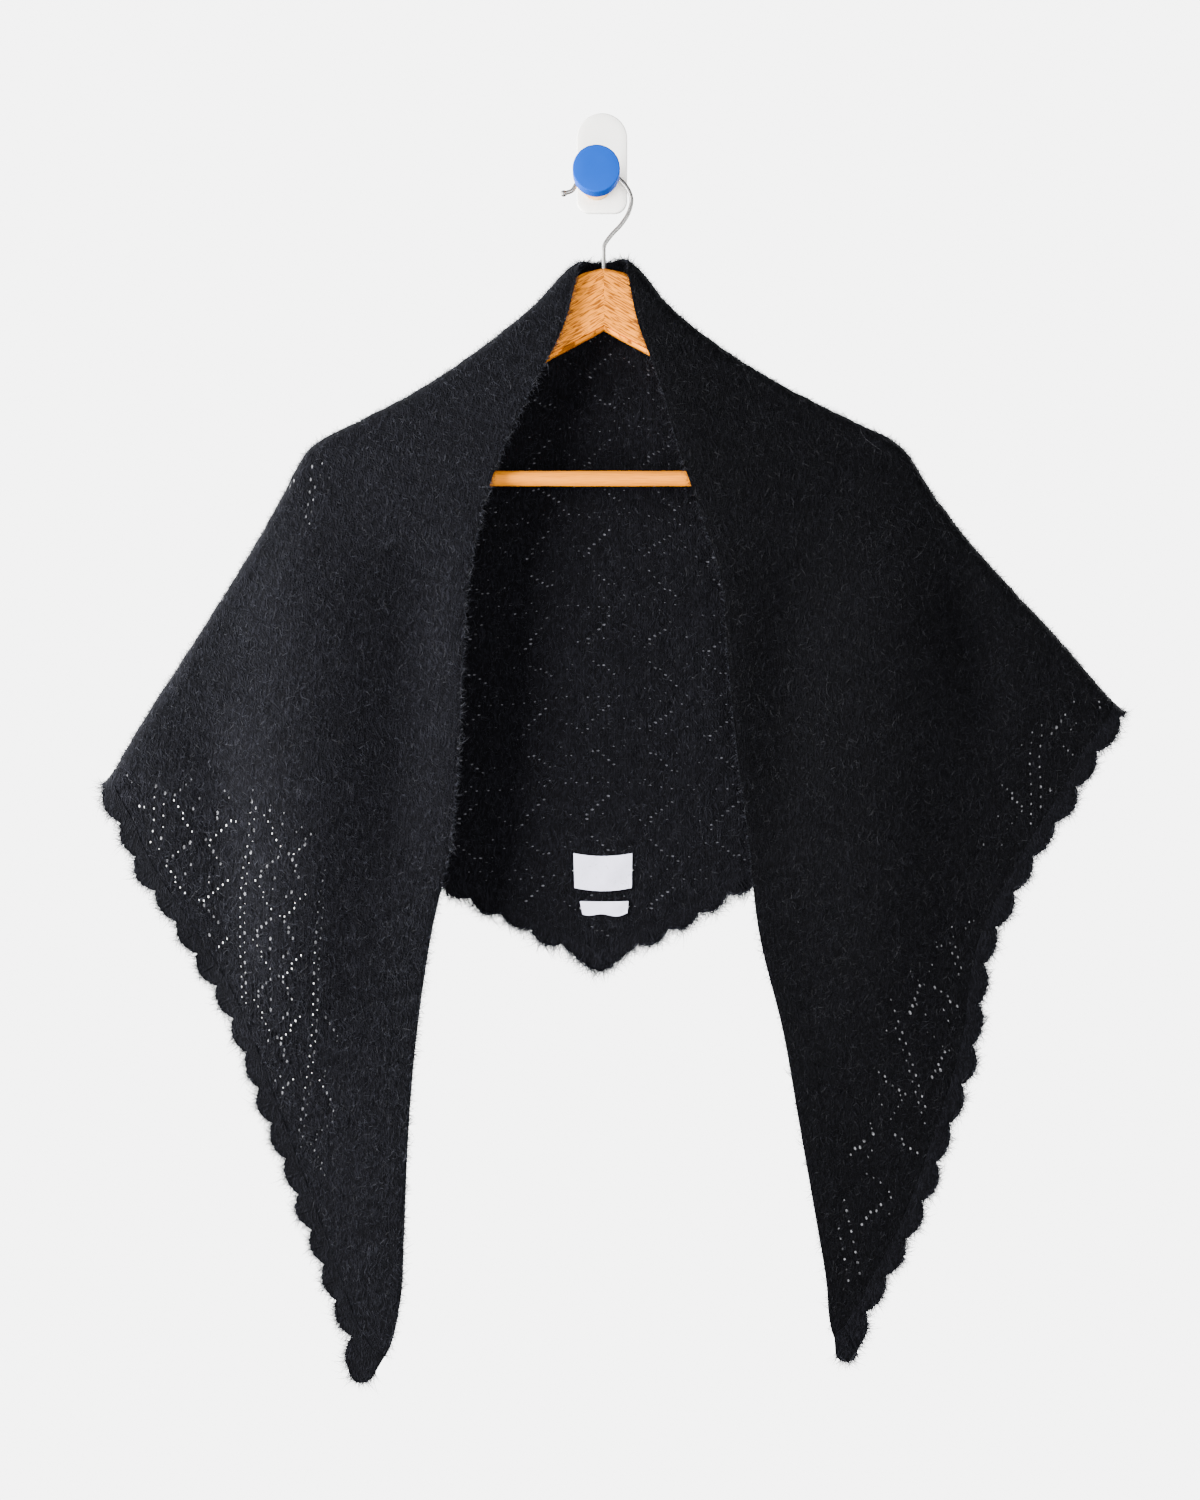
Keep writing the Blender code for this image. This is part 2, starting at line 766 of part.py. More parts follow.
def smooth_route(points, step):
    """Points a step apart on a smooth curve through the given ones."""
    points = np.array(points, float)
    knots = arc_length(points)
    slopes = np.gradient(points, knots, axis=0)
    route = []
    for place in np.linspace(0, knots[-1], int(round(knots[-1] / step)) + 1):
        k = min(int(np.searchsorted(knots, place, side="right")) - 1, len(knots) - 2)
        width = knots[k + 1] - knots[k]
        t = (place - knots[k]) / width
        start = (2 * t**3 - 3 * t**2 + 1) * points[k] + (t**3 - 2 * t**2 + t) * width * slopes[k]
        end = (3 * t**2 - 2 * t**3) * points[k + 1] + (t**3 - t**2) * width * slopes[k + 1]
        route.append(start + end)
    return np.array(route)


def make_hook():
    """Wire hook from the arms' top, over the knob's stem, to its round end."""
    route = smooth_route([(point.x, point.drop) for point in WIRE], WIRE_STEP)
    centre = np.column_stack([route[:, 0], np.full(len(route), -HANGER_FORWARD), -route[:, 1]])
    along = unit(np.gradient(centre, axis=0))
    aside = np.cross(along, (0, 1, 0))
    radii = np.array([WIRE_RADIUS] * len(centre) + [ring.radius for ring in BALL])
    ball = centre[-1] + along[-1] * np.array([[ring.past] for ring in BALL])
    centre = np.concatenate([centre, ball])
    aside = np.concatenate([aside, np.repeat(aside[-1:], len(ball), axis=0)])
    angles = np.arange(WIRE_SIDES) * 2 * math.pi / WIRE_SIDES
    turned = np.cos(angles)[None, :, None] * aside[:, None] + np.sin(angles)[None, :, None] * (0, 1, 0)
    points = (centre[:, None] + radii[:, None, None] * turned).reshape(-1, 3)
    add_object("hanger_hook", mesh_of("hanger_hook", points, ring_faces(len(centre), WIRE_SIDES)), "steel")


def plate_outline():
    """Outline of the wall plate: a round top and two small round corners below."""
    half, low = PLATE_WIDTH / 2, -PLATE_HEIGHT / 2
    top = PLATE_HEIGHT / 2 - half
    corner = PLATE_CORNER
    arcs = [
        (0, top, half, 0, 180, 16),
        (corner - half, low + corner, corner, 180, 270, 5),
        (half - corner, low + corner, corner, 270, 360, 5),
    ]
    outline = []
    for x, z, radius, first, last, steps in arcs:
        for angle in np.radians(np.linspace(first, last, steps + 1)):
            outline.append((x + radius * math.cos(angle), z + radius * math.sin(angle)))
    return outline


def make_wall_hook():
    """The plate that fixes to the wall, its stem and its round knob."""
    outline = plate_outline()
    points = [(x, -out, z) for out in (0, PLATE_THICK) for x, z in outline]
    add_object("wall_plate", mesh_of("wall_plate", points, ring_faces(2, len(outline))), "plate_white")
    stem_start = PLATE_THICK + JOIN_GAP
    stem_end = stem_start + STEM_LENGTH
    centre = (KNOB_X, -STEM_DROP)
    stem = [(centre[0], -out, centre[1]) for out in (stem_start, stem_end)]
    add_object("knob_stem", cylinder("knob_stem", STEM_RADIUS, *stem, sides=24), "pale_wood")
    disc = [(centre[0], -out, centre[1]) for out in (stem_end + JOIN_GAP, stem_end + JOIN_GAP + DISC_THICK)]
    knob = add_object("knob_disc", cylinder("knob_disc", DISC_RADIUS, *disc, sides=36), "knob_blue")
    add_bevel(knob, DISC_EDGE, 2)


def main():
    for obj in list(bpy.data.objects):
        bpy.data.objects.remove(obj)
    make_cloth()
    for label in LABELS:
        make_label(label)
    make_arms()
    make_hook()
    make_wall_hook()


main()
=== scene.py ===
"""Dresses the packed shawl: lace knit, crochet edging, fuzz, labels, hanger and wall hook.

Tables and sizes are in millimetres, in the frame of the CAD: x is to the right, drop is below
the origin, forward is in front of the wall. Run and depth are places on the flat triangle of
the shawl. Run goes along the neck edge from the centre back, above zero to the right and below
zero to the left, and depth goes square to it. The settings in the sidebar are in metres.
"""

import math
from collections import namedtuple

import bpy
import numpy as np
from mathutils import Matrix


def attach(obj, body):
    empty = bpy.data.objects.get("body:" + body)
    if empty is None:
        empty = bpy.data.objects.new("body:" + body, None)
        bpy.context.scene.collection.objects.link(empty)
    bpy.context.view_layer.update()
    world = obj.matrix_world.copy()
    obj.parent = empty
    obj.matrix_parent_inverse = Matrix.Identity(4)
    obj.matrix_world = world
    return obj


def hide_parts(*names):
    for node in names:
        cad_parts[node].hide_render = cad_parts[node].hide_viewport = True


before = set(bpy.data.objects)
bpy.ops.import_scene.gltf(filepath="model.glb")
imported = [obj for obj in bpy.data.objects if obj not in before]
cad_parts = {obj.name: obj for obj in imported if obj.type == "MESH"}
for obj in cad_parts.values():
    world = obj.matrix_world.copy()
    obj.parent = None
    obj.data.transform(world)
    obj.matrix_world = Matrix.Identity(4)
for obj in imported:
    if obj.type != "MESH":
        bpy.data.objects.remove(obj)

bl_info = {
    "name": "Knit shawl on its hanger",
    "version": (1, 0, 0),
    "blender": (4, 5, 0),
    "location": "3D View > Sidebar > Shawl",
    "description": "Lace knit shawl over a wooden hanger on a round wall hook",
    "category": "Object",
}

MM = 0.001
SIDES = ("left", "right")
SIGN = {"left": -1, "right": 1}
BODY = "root"

# Shares of the usual colour, which paint light and shade: painted shade on the knit inside the back,
# painted light on the left front's knit and fuzz and painted shade on the right's, and pale fuzz in each
# front's eyelets as painted light seen through them
INSIDE_PAINTED_SHADE = 0.85
FRONT_PAINTED_LIGHT_AND_SHADE = {"left": 1.08, "right": 0.5}
WEB_PAINTED_LIGHT = {"left": 1.2, "right": 1.5}

# The shawl as cut, and the crochet edging along its two short sides
NECK_HALF = 894
DEPTH = 533
BAND = 7
SCALLOP = 5.4
SCALLOP_UNEVEN = 0.2
NOTCH = 3.5
FRONT_SCALLOPS = 18
BACK_SCALLOPS = 17
APEX_SCALLOP = 28
APEX_EXTRA = 1.5
APEX_POWER = 0.8
LOBE_POWER = 0.85
FAN_BUMP = 0.9
FAN_BUMPS = 5
FAN_POWER = 0.7
SIDE_LEAN = math.atan2(DEPTH, NECK_HALF)
TRIM = (BAND + NOTCH) / math.cos(SIDE_LEAN)
TIP_RUN = NECK_HALF * (1 - TRIM / DEPTH)

# The fold over the hanger: how far it rounds out to each side, and down
FOLD_OUT = 9
FOLD_DOWN = 9
FOLD_FADE = 28
FOLD_SHARE = 0.7
NECK_TURN = (8, 19)
NECK_START = NECK_TURN[1] + 2
SHOULDER = (220, 138)
CORNER_RUN = {"left": 475, "right": 442}

Place = namedtuple("Place", "run x drop forward")

# The free neck edge of each front, from the hanger down to its tip
NECK_EDGE = {
    "left": [
        Place(19, -16, 77, 26),
        Place(67, -28, 125, 28),
        Place(119, -50, 170, 32),
        Place(171, -72, 217, 37),
        Place(220, -87, 261, 38),
        Place(276, -98, 314, 38),
        Place(335, -102, 372, 39),
        Place(402, -105, 437, 38),
        Place(475, -111, 507, 38),
        Place(551, -126, 580, 38),
        Place(633, -137, 659, 38),
        Place(708, -142.5, 731, 39),
        Place(775, -145, 796, 40),
        Place(827, -148, 846, 41),
        Place(864, -157, 881, 42),
        Place(894, -175, 902, 42),
    ],
    "right": [
        Place(19, 17, 75, 26),
        Place(67, 26, 122, 28),
        Place(119, 43, 170, 32),
        Place(171, 56, 218, 37),
        Place(220, 71, 262, 38),
        Place(276, 87, 313, 38),
        Place(335, 92, 369, 40),
        Place(402, 98, 432, 40),
        Place(475, 107, 500, 39),
        Place(551, 115, 573, 38),
        Place(633, 133, 648, 38),
        Place(708, 145, 717, 39),
        Place(775, 156, 780, 40),
        Place(827, 164, 828, 41),
        Place(864, 168, 865, 42),
        Place(894, 179, 888, 42),
    ],
}

# The fold line, over the hanger's arm to its end and then down the free wing to its corner
FOLD_LINE = {
    "left": [
        Place(0, 1, 75, 17),
        Place(19, -16, 77, 17),
        Place(60, -53, 112.5, 18),
        Place(101, -93, 144.5, 19),
        Place(142, -134, 172.5, 21),
        Place(183, -177, 196, 24),
        Place(220, -215.5, 218, 27),
        Place(253, -234, 251, 29),
        Place(291, -255, 289, 31),
        Place(335, -281, 332, 33),
        Place(380, -308, 375, 35),
        Place(425, -335, 417, 37),
        Place(475, -363, 466, 39),
    ],
    "right": [
        Place(0, 1, 75, 17),
        Place(19, 17, 75, 17),
        Place(60, 53, 113.5, 18),
        Place(101, 94, 145.5, 19),
        Place(142, 137, 172, 21),
        Place(183, 181, 195, 24),
        Place(220, 221, 217, 27),
        Place(253, 242, 249, 29),
        Place(291, 267, 283, 31),
        Place(335, 300, 321, 33),
        Place(380, 334, 358, 35),
        Place(417, 361, 390, 37),
        Place(442, 379, 411, 38),
    ],
}

# The scalloped side of each front, from the wing's corner down to the tip
SIDE_EDGE = {
    "left": [
        Place(475, -363, 466, 48),
        Place(522, -344, 516, 47),
        Place(574, -312, 565, 46),
        Place(633, -276, 624, 45),
        Place(693, -252, 688, 44),
        Place(752, -230, 752, 43),
        Place(805, -212, 808, 42),
        Place(849, -200, 858, 42),
        Place(894, -180, 904, 42),
    ],
    "right": [
        Place(442, 379, 411, 47),
        Place(492, 351, 462, 47),
        Place(551, 314, 521, 46),
        Place(611, 285, 582, 45),
        Place(670, 276, 650, 44),
        Place(730, 258, 715, 43),
        Place(790, 236, 780, 42),
        Place(842, 209, 835, 42),
        Place(894, 184, 889, 42),
    ],
}

# The round end of each front, as the centre and radius of its lowest scallop, and how far its rim turns.
# The inner line of the band closes in on the neck edge there, and the knit ends in a narrow column
TipRound = namedtuple("TipRound", "x drop forward radius")
TIP = {"left": TipRound(-175.8, 893.8, 42, 9.5), "right": TipRound(178.6, 880, 42, 8)}
TIP_ROUND = math.radians(165)
TIP_SHARE = 0.5
TIP_LOBE = 3.6
TIP_CLOSE = 8
TIP_ROOM = 2.5
TIP_DEPTH = 0.05

# The scalloped hem of the back, from the point at the centre out to the wing's corner
HEM = {
    "left": [
        Place(0, -2, 603, 9),
        Place(58, -60, 574, 9),
        Place(116, -119, 543, 10),
        Place(194, -171, 517, 10),
        Place(268, -220, 494, 11),
        Place(343, -272, 477, 15),
        Place(417, -325, 467, 23),
        Place(475, -363, 466, 30),
    ],
    "right": [
        Place(0, -2, 603, 9),
        Place(58, 56, 574, 9),
        Place(112, 110, 541, 10),
        Place(194, 177, 506, 10),
        Place(268, 239, 478, 13),
        Place(343, 301, 449, 18),
        Place(395, 343, 429, 24),
        Place(442, 379, 411, 29),
    ],
}

# Soft vertical folds of the back, which grow from nothing at the fold line to full height at the hem
Flute = namedtuple("Flute", "run half_width height")
FLUTES = {
    "left": [Flute(176, 44, 20), Flute(262, 44, 26), Flute(344, 40, 24), Flute(417, 34, 11)],
    "right": [Flute(172, 46, 17), Flute(262, 47, 22), Flute(350, 42, 15)],
}

# Long soft ridges and troughs of the fronts: a trough has a height below zero
Crease = namedtuple("Crease", "x drop low_x low_drop width height")
CREASE_RISE = 0.3
CREASE_END = 1.25
CREASE_FADE = 0.45
CREASE_CLEAR = 35
CREASES = {
    "left": [
        Crease(-214, 226, -226, 640, 44, 8),
        Crease(-128, 250, -152, 520, 26, -4),
        Crease(-290, 380, -268, 600, 24, -4),
    ],
    "right": [
        Crease(218, 226, 204, 640, 40, 7),
        Crease(150, 256, 118, 530, 30, -5),
        Crease(256, 296, 282, 420, 20, -4),
    ],
}

# The lace: lines of paired eyelets along the rows, with two columns of slanting chains between them
LINE_FIRST = 60
LINE_APART = 66.7
LINE_LAST = 480
LINE_EYELETS = 8.2
LINE_PAIR = 5.1
LINE_SIZES = (0.95, 0.75)
REPEAT = 49
LACE_SHIFT = 25
LACE_SHIFT_RUN = (200, 450)
LACE_SHIFT_OUTER = 15
LACE_SHIFT_DEPTH = (61, 121)
HEM_CLEAR = 7
NECK_CLEAR = 6
Chain = namedtuple("Chain", "along down step_along step_down count share")
CHAINS = [
    Chain(0, 26, 3.6, -3.5, 6, 1.1),
    Chain(-1.5, 29, -4.1, -2.9, 5, 0.65),
    Chain(24.5, 54, -4.1, -2.7, 6, 1.0),
    Chain(26.5, 53, 4.1, -2.9, 5, 0.6),
    Chain(15, 24, 4.1, -1.7, 2, 0.6),
    Chain(29, 38, -8.2, 1.0, 2, 0.6),
]

# How far the fuzz leaves the eyelets open, by the run. The widest are near the side of a front, from
# the inside share of the way between the neck edge and the outer edge. The widest of all go through.
# The others are shallow dishes, closed by a web of fuzz whose pale colour is painted light seen through
# the eyelet or, where they are narrowest, by the knit
Openness = namedtuple("Openness", "run share inside")
BACK_OPEN = 0.43
BACK_LINE_OPEN = 0.34
FRONT_OPEN = {
    "left": [
        Openness(0, 0.15, 0.75),
        Openness(218, 0.15, 0.8),
        Openness(230, 0.6, 0.68),
        Openness(262, 0.6, 0.68),
        Openness(275, 0.15, 0.6),
        Openness(455, 0.15, 0.45),
        Openness(480, 1, 0.35),
        Openness(560, 1, 0.35),
        Openness(640, 0.95, 0.4),
        Openness(740, 0.35, 0.5),
        Openness(790, 0.15, 0.5),
        Openness(830, 0.15, 0.5),
        Openness(894, 0.15, 0.5),
    ],
    "right": [
        Openness(0, 0.15, 0.8),
        Openness(218, 0.15, 0.85),
        Openness(226, 0.5, 0.88),
        Openness(244, 0.5, 0.88),
        Openness(254, 0.15, 0.85),
        Openness(425, 0.15, 0.75),
        Openness(440, 0.5, 0.68),
        Openness(520, 0.5, 0.68),
        Openness(545, 0.15, 0.7),
        Openness(575, 0.15, 0.7),
        Openness(610, 0.5, 0.5),
        Openness(700, 0.5, 0.35),
        Openness(800, 0.5, 0.1),
        Openness(894, 0.5, 0.1),
    ],
}
OPEN_EASE = 0.2
CLOSED_SHARE = 0.2
OPEN_UNEVEN = 0.2
OPEN_LEAST = 0.1
OPEN_THROUGH = 0.67
WEB_LEAST = 0.27
WEB_WIDTH = 3.2
WEB_THICK = 0.2
MESH_FROM = 0.75
MESH_CHANCE = 0.45
MESH_OPEN = 0.22
EYELET_LONG = 1.25
EYELET_NARROW = 0.7
EYELET_DISH = 0.45
EDGE_THIN = 0.35

# The hanger: two arms mitred at the middle, a trouser bar and a wire hook
HANGER_X = 1.5
HANGER_FORWARD = 16.5
ARM_REACH = 222
ARM_BOW = 11
BOW_POWER = 1.6
ARM_THICK = 12
ARM_ROUND = 4.6
ARM_CHAMFER = 2.6
# Where the arm's round end starts, and the groove along its foot
ARM_END = 206
GROOVE_DEEP = 1.7
GROOVE_ABOVE = 0.5
GROOVE_BELOW = 0.6
MITRE = 0.03
BAR_DROP = 239.3
BAR_RADIUS = 5.7
BAR_UNEVEN = 0.06
BAR_REACH = 213
GRAIN_SLOPE = math.radians(31)
GRAIN_START = {"left": 0, "right": 400}
GRAIN_THROUGH = 0.7

ArmRow = namedtuple("ArmRow", "reach top bottom")
ARM = [
    ArmRow(0, 81.5, 127.5),
    ArmRow(20, 87.5, 138.5),
    ArmRow(38, 103, 148),
    ArmRow(55, 119, 157.5),
    ArmRow(75, 135.5, 167.5),
    ArmRow(94, 150, 177),
    ArmRow(115, 164, 187),
    ArmRow(135, 176.5, 198),
    ArmRow(157, 189, 212),
    ArmRow(179, 201, 227),
    ArmRow(198, 213.5, 240),
    ArmRow(211, 222, 247),
    ArmRow(219, 228, 247),
    ArmRow(222, 233, 242),
]

WirePoint = namedtuple("WirePoint", "x drop")
WIRE = [
    WirePoint(1.5, 84),
    WirePoint(1.5, 80.9),
    WirePoint(1.4, 72),
    WirePoint(1.9, 64),
    WirePoint(6.5, 57),
    WirePoint(14.5, 48.3),
    WirePoint(20.3, 38.6),
    WirePoint(22.0, 30.2),
    WirePoint(19.5, 22.5),
    WirePoint(12.5, 14.5),
    WirePoint(5.5, 9.5),
    WirePoint(-2.5, 8.0),
    WirePoint(-11.5, 11.5),
    WirePoint(-19.0, 18.4),
    WirePoint(-22.6, 23.6),
    WirePoint(-26.4, 24.9),
]

# The wall hook: a plate, a stem and a round knob
PLATE_WIDTH = 38
PLATE_HEIGHT = 75
PLATE_THICK = 4.5
PLATE_CORNER = 9.5
PLATE_RAISED = 1
KNOB_X = -4.2
STEM_DROP = 16.7
STEM_RADIUS = 8.4
STEM_LENGTH = 31.7
COLLAR_RADIUS = 10.7
COLLAR_LENGTH = 3
COLLAR_SLOPE = 1
DISC_RADIUS = 17.3
DISC_THICK = 14
JOIN_GAP = 0.3

# The two blank labels on the inside of the back. Sag is how far the top edge dips in its middle
Label = namedtuple("Label", "name node left right top bottom lean sag bulge waves")
LABELS = [
    Label("label_large", "label_large", -21, 22.4, 517.3, 543.2, 0.8, 2.2, 2.4, 0),
    Label("label_small", "label_small", -15.6, 19.4, 553.2, 562.2, 2.0, 0.3, 1.8, 1.1),
]

# The camera of the photograph, which looks level at the wall
CAMERA_X = -1.5
CAMERA_FORWARD = 1466.5
CAMERA_DROP = 440.1
CAMERA_LENS = 46.71
CAMERA_SENSOR = 36


# Settings that a user would change

def length(name, description, default):
    return bpy.props.FloatProperty(
        name=name, description=description, default=default, unit="LENGTH", subtype="DISTANCE"
    )


def colour(name, description, default):
    return bpy.props.FloatVectorProperty(
        name=name, description=description, default=default, size=3, subtype="COLOR", min=0, max=1
    )


def level(name, description, default):
    return bpy.props.FloatProperty(name=name, description=description, default=default)


def power(name, description, default):
    return bpy.props.FloatProperty(name=name, description=description, default=default, unit="POWER")


class KnitSettings(bpy.types.PropertyGroup):
    """Gauge and colour of the lace knit"""

    stitch: length("Stitch", "Width of one stitch", 0.0041)
    row: length("Row", "Height of one row of stitches", 0.0034)
    thickness: length("Thickness", "Thickness of the knit", 0.0017)
    eyelet: length("Eyelet", "Width of the widest eyelet of the lace", 0.0012)
    lumps: length("Lumps", "Height of the felted knit's soft lumps", 0.00035)
    # The eyelet fuzz is paler than the fibres: painted light seen through the eyelets, bright in the fronts
    # and dim in the back
    front_web: colour("Front eyelet fuzz", "Fuzz in an eyelet of a front", (0.07, 0.07, 0.075))
    web: colour("Eyelet fuzz", "Fuzz in an eyelet of the back", (0.032, 0.032, 0.037))
    yarn: colour("Yarn", "Colour of the yarn", (0.0011, 0.0011, 0.0015))
    nap: colour("Nap", "Colour of the brushed fibres on the yarn", (0.0048, 0.0049, 0.0066))


class EdgingSettings(bpy.types.PropertyGroup):
    """The scalloped crochet edging"""

    thickness: length("Thickness", "Thickness of the crochet", 0.0024)
    ridge: length("Ridge", "Height of the fan's ridges", 0.0004)
    fans: bpy.props.IntProperty(name="Fan stitches", description="Stitches in one scallop", default=7)


class FuzzSettings(bpy.types.PropertyGroup):
    """The halo of fine fibres"""

    length: length("Length", "Longest usual fibre", 0.009)
    thickness: length("Thickness", "Width of a fibre at its root", 0.00026)
    edge_thickness: length("Edge thickness", "Width at its root of a tuft of fibres on an edge", 0.00036)
    spacing: length("Spacing", "Distance between fibres on the cloth", 0.0025)
    edge_spacing: length("Edge spacing", "Distance between fibres along the edges", 0.00015)
    strays: bpy.props.IntProperty(name="Stray hairs", description="Long pale loose hairs", default=60)
    fibre: colour("Fibre", "Colour of the fibres", (0.0078, 0.0082, 0.0110))
    stray: colour("Stray hair", "Colour of the long loose hairs", (0.035, 0.035, 0.04))
    seed: bpy.props.IntProperty(name="Seed", description="Start of the random draws", default=7)


class LabelSettings(bpy.types.PropertyGroup):
    """The two blank woven labels"""

    thickness: length("Thickness", "Thickness of the label tape", 0.0005)
    tape: colour("Tape", "Colour of the label tape", (0.58, 0.57, 0.70))


class HangerSettings(bpy.types.PropertyGroup):
    """The wooden hanger and its hook"""

    wire_radius: length("Wire radius", "Radius of the hook's wire", 0.0016)
    wood: colour("Wood", "Colour of the arms", (0.70, 0.215, 0.002))
    pore: colour("Pore", "Colour of the wood's pores", (0.085, 0.016, 0.001))
    bar: colour("Bar", "Colour of the trouser bar", (0.62, 0.19, 0.0))
    steel: colour("Steel", "Colour of the hook", (0.27, 0.264, 0.252))


class WallHookSettings(bpy.types.PropertyGroup):
    """The wall plate, its stem and its round knob"""

    plate: colour("Plate", "Colour of the wall plate", (0.86, 0.845, 0.80))
    knob: colour("Knob", "Colour of the knob's paint", (0.0, 0.043, 0.29))
    stem: colour("Stem", "Colour of the stem's wood", (0.80, 0.50, 0.25))


class StageSettings(bpy.types.PropertyGroup):
    """Floor, light and camera"""

    floor_drop: length("Floor drop", "Height of the wall hook above the floor", 2.2)
    floor_radius: length("Floor radius", "Radius of the round floor", 2.6)
    backdrop_radius: length("Backdrop radius", "Radius of the round backdrop", 7.0)
    floor_glow: level("Floor glow", "Strength of the lit floor", 3.6)
    pale: colour("Pale", "Colour of the floor and the backdrop", (0.875, 0.875, 0.875))
    glow: level("Backdrop glow", "Strength of the lit backdrop", 7.0)
    key: power("Key light", "Power of the key light", 165)
    rim: power("Rim light", "Power of each rim light", 90)
    side: power("Side light", "Power of the light at the right", 16)
    fill: power("Fill light", "Power of the fill light", 105)
    surround: level("Surround", "Strength of the light all round", 0.25)


# Small mathematics

def smooth_between(t, width, start, start_slope, end, end_slope):
    """Value at a share t of the way between two points of a smooth curve, from its slopes there."""
    leave = (2 * t**3 - 3 * t**2 + 1) * start + (t**3 - 2 * t**2 + t) * width * start_slope
    arrive = (3 * t**2 - 2 * t**3) * end + (t**3 - t**2) * width * end_slope
    return leave + arrive


def curve(rows, column, key, at):
    """Smooth value of one column of a table at each place along its key column."""
    xs = np.array([getattr(row, key) for row in rows], float)
    ys = np.array([getattr(row, column) for row in rows], float)
    slopes = np.gradient(ys, xs)
    k = np.clip(np.searchsorted(xs, at, side="right") - 1, 0, len(xs) - 2)
    width = xs[k + 1] - xs[k]
    t = np.clip((at - xs[k]) / width, 0, 1)
    return smooth_between(t, width, ys[k], slopes[k], ys[k + 1], slopes[k + 1])


def path(rows, run):
    """x, drop and forward of a table's curve at each run."""
    return np.stack([curve(rows, name, "run", run) for name in ("x", "drop", "forward")], axis=-1)


def ease(t):
    """Smooth step from 0 to 1."""
    t = np.clip(t, 0, 1)
    return t * t * (3 - 2 * t)


def unit(vectors):
    """The vectors at length 1."""
    return vectors / np.maximum(np.linalg.norm(vectors, axis=-1, keepdims=True), 1e-9)


def arc_length(points):
    """Distance along a line of points at each of them."""
    return np.concatenate([[0], np.cumsum(np.linalg.norm(np.diff(points, axis=0), axis=1))])


def to_space(points):
    """x, drop, forward to Blender's x, y, z, still in millimetres."""
    return np.stack([points[..., 0], -points[..., 2], -points[..., 1]], axis=-1)


def lumps(run, depth, size, seed):
    """Soft random relief, mostly from -1 to 1, whose lumps are about this size across."""
    waves = 7
    rng = np.random.default_rng(seed)
    total = np.zeros(len(run))
    for _ in range(waves):
        turn, phase = rng.uniform(0, 2 * math.pi, 2)
        pace = 2 * math.pi / (size * rng.uniform(0.7, 1.6))
        total += np.sin(pace * (run * math.cos(turn) + depth * math.sin(turn)) + phase)
    return total / (waves / 2)


# The form in which the flat triangle hangs

def side_depth(run):
    """Depth of the scalloped side on the flat triangle."""
    return DEPTH * (1 - run / NECK_HALF)


def outer_depth(side, run):
    """Depth of a front's outer edge: the fold line's, then the inner line of the scalloped band."""
    return np.where(run <= panel_corner(side), fold_depth(side, run), side_depth(run) - TRIM)


def fold_depth(side, run):
    """Depth of the fold line on the flat triangle."""
    corner = CORNER_RUN[side]
    runs = [NECK_TURN[1], SHOULDER[0], corner]
    return np.interp(run, runs, [0, SHOULDER[1], side_depth(corner)])


def panel_corner(side):
    """Run at which the fold line meets the inner line of the scalloped band."""
    runs = np.linspace(SHOULDER[0], CORNER_RUN[side], 2000)
    room = side_depth(runs) - TRIM - fold_depth(side, runs)
    return float(np.interp(0, -room, runs))


def wrap(outer, inner, walked, closing, way):
    """Point walked, as a share of the way from the outer line to the inner one.

    Near the fold line the cloth rounds over by a quarter of an ellipse. The way is +1
    for a front, which lies before its fold line, and -1 for the back. Closing fades the round.
    """
    across = inner[:, :2] - outer[:, :2]
    span = np.maximum(np.linalg.norm(across, axis=1), 1e-6)
    down = np.minimum(FOLD_DOWN, FOLD_SHARE * span) * closing
    out = FOLD_OUT * closing
    arc = math.pi / 2 * np.sqrt((down**2 + out**2) / 2)
    walk = walked * (span - down + arc)
    turned = np.where(arc > 0, np.clip(walk / np.maximum(arc, 1e-6), 0, 1), 1) * math.pi / 2
    passed = np.where(walk < arc, down * (1 - np.cos(turned)), down + walk - arc)
    share = passed / span
    flat = outer[:, :2] + across * share[:, None]
    forward = outer[:, 2] + (inner[:, 2] - outer[:, 2]) * share
    forward = forward - way * out * (1 - np.sin(turned))
    return flat, forward, passed


def crease_height(side, flat):
    """Forward push of the fronts' soft ridges and troughs at each x, drop."""
    total = np.zeros(len(flat))
    for crease in CREASES[side]:
        start = np.array([crease.x, crease.drop])
        line = np.array([crease.low_x, crease.low_drop]) - start
        reach = np.linalg.norm(line)
        along = (flat - start) @ line / reach**2
        aside = ((flat - start) @ np.array([-line[1], line[0]])) / reach
        rise = ease(along / CREASE_RISE) * ease((CREASE_END - along) / CREASE_FADE)
        total += crease.height * np.exp(-((aside / crease.width) ** 2)) * rise
    return total


def back_top(run):
    """Depth of the back's upper edge, the fold line, at a signed run."""
    return np.where(run < 0, fold_depth("left", -run), fold_depth("right", run))


def band_depth(run):
    """Depth of the inner line of the scalloped band at a signed run."""
    return side_depth(np.abs(run)) - TRIM


def front_outer(side, run):
    """Outer line of a front: the fold line's front face, then the scalloped side."""
    fold = path(FOLD_LINE[side], run)
    fold[:, 2] += FOLD_OUT
    free = path(SIDE_EDGE[side], run)
    return np.where((run <= CORNER_RUN[side])[:, None], fold, free)


def front_point(side, run, depth):
    """Middle of a front's wall at flat places run, depth."""
    corner = CORNER_RUN[side]
    full = np.where(run <= corner, fold_depth(side, run), side_depth(run))
    closing = 1 - ease((run - corner) / FOLD_FADE)
    walked = 1 - depth / np.maximum(full, 1e-6)
    flat, forward, passed = wrap(front_outer(side, run), path(NECK_EDGE[side], run), walked, closing, 1)
    settled = np.where(closing > 0, ease(passed / CREASE_CLEAR), 1)
    forward = forward + settled * crease_height(side, flat)
    return np.column_stack([flat, forward])


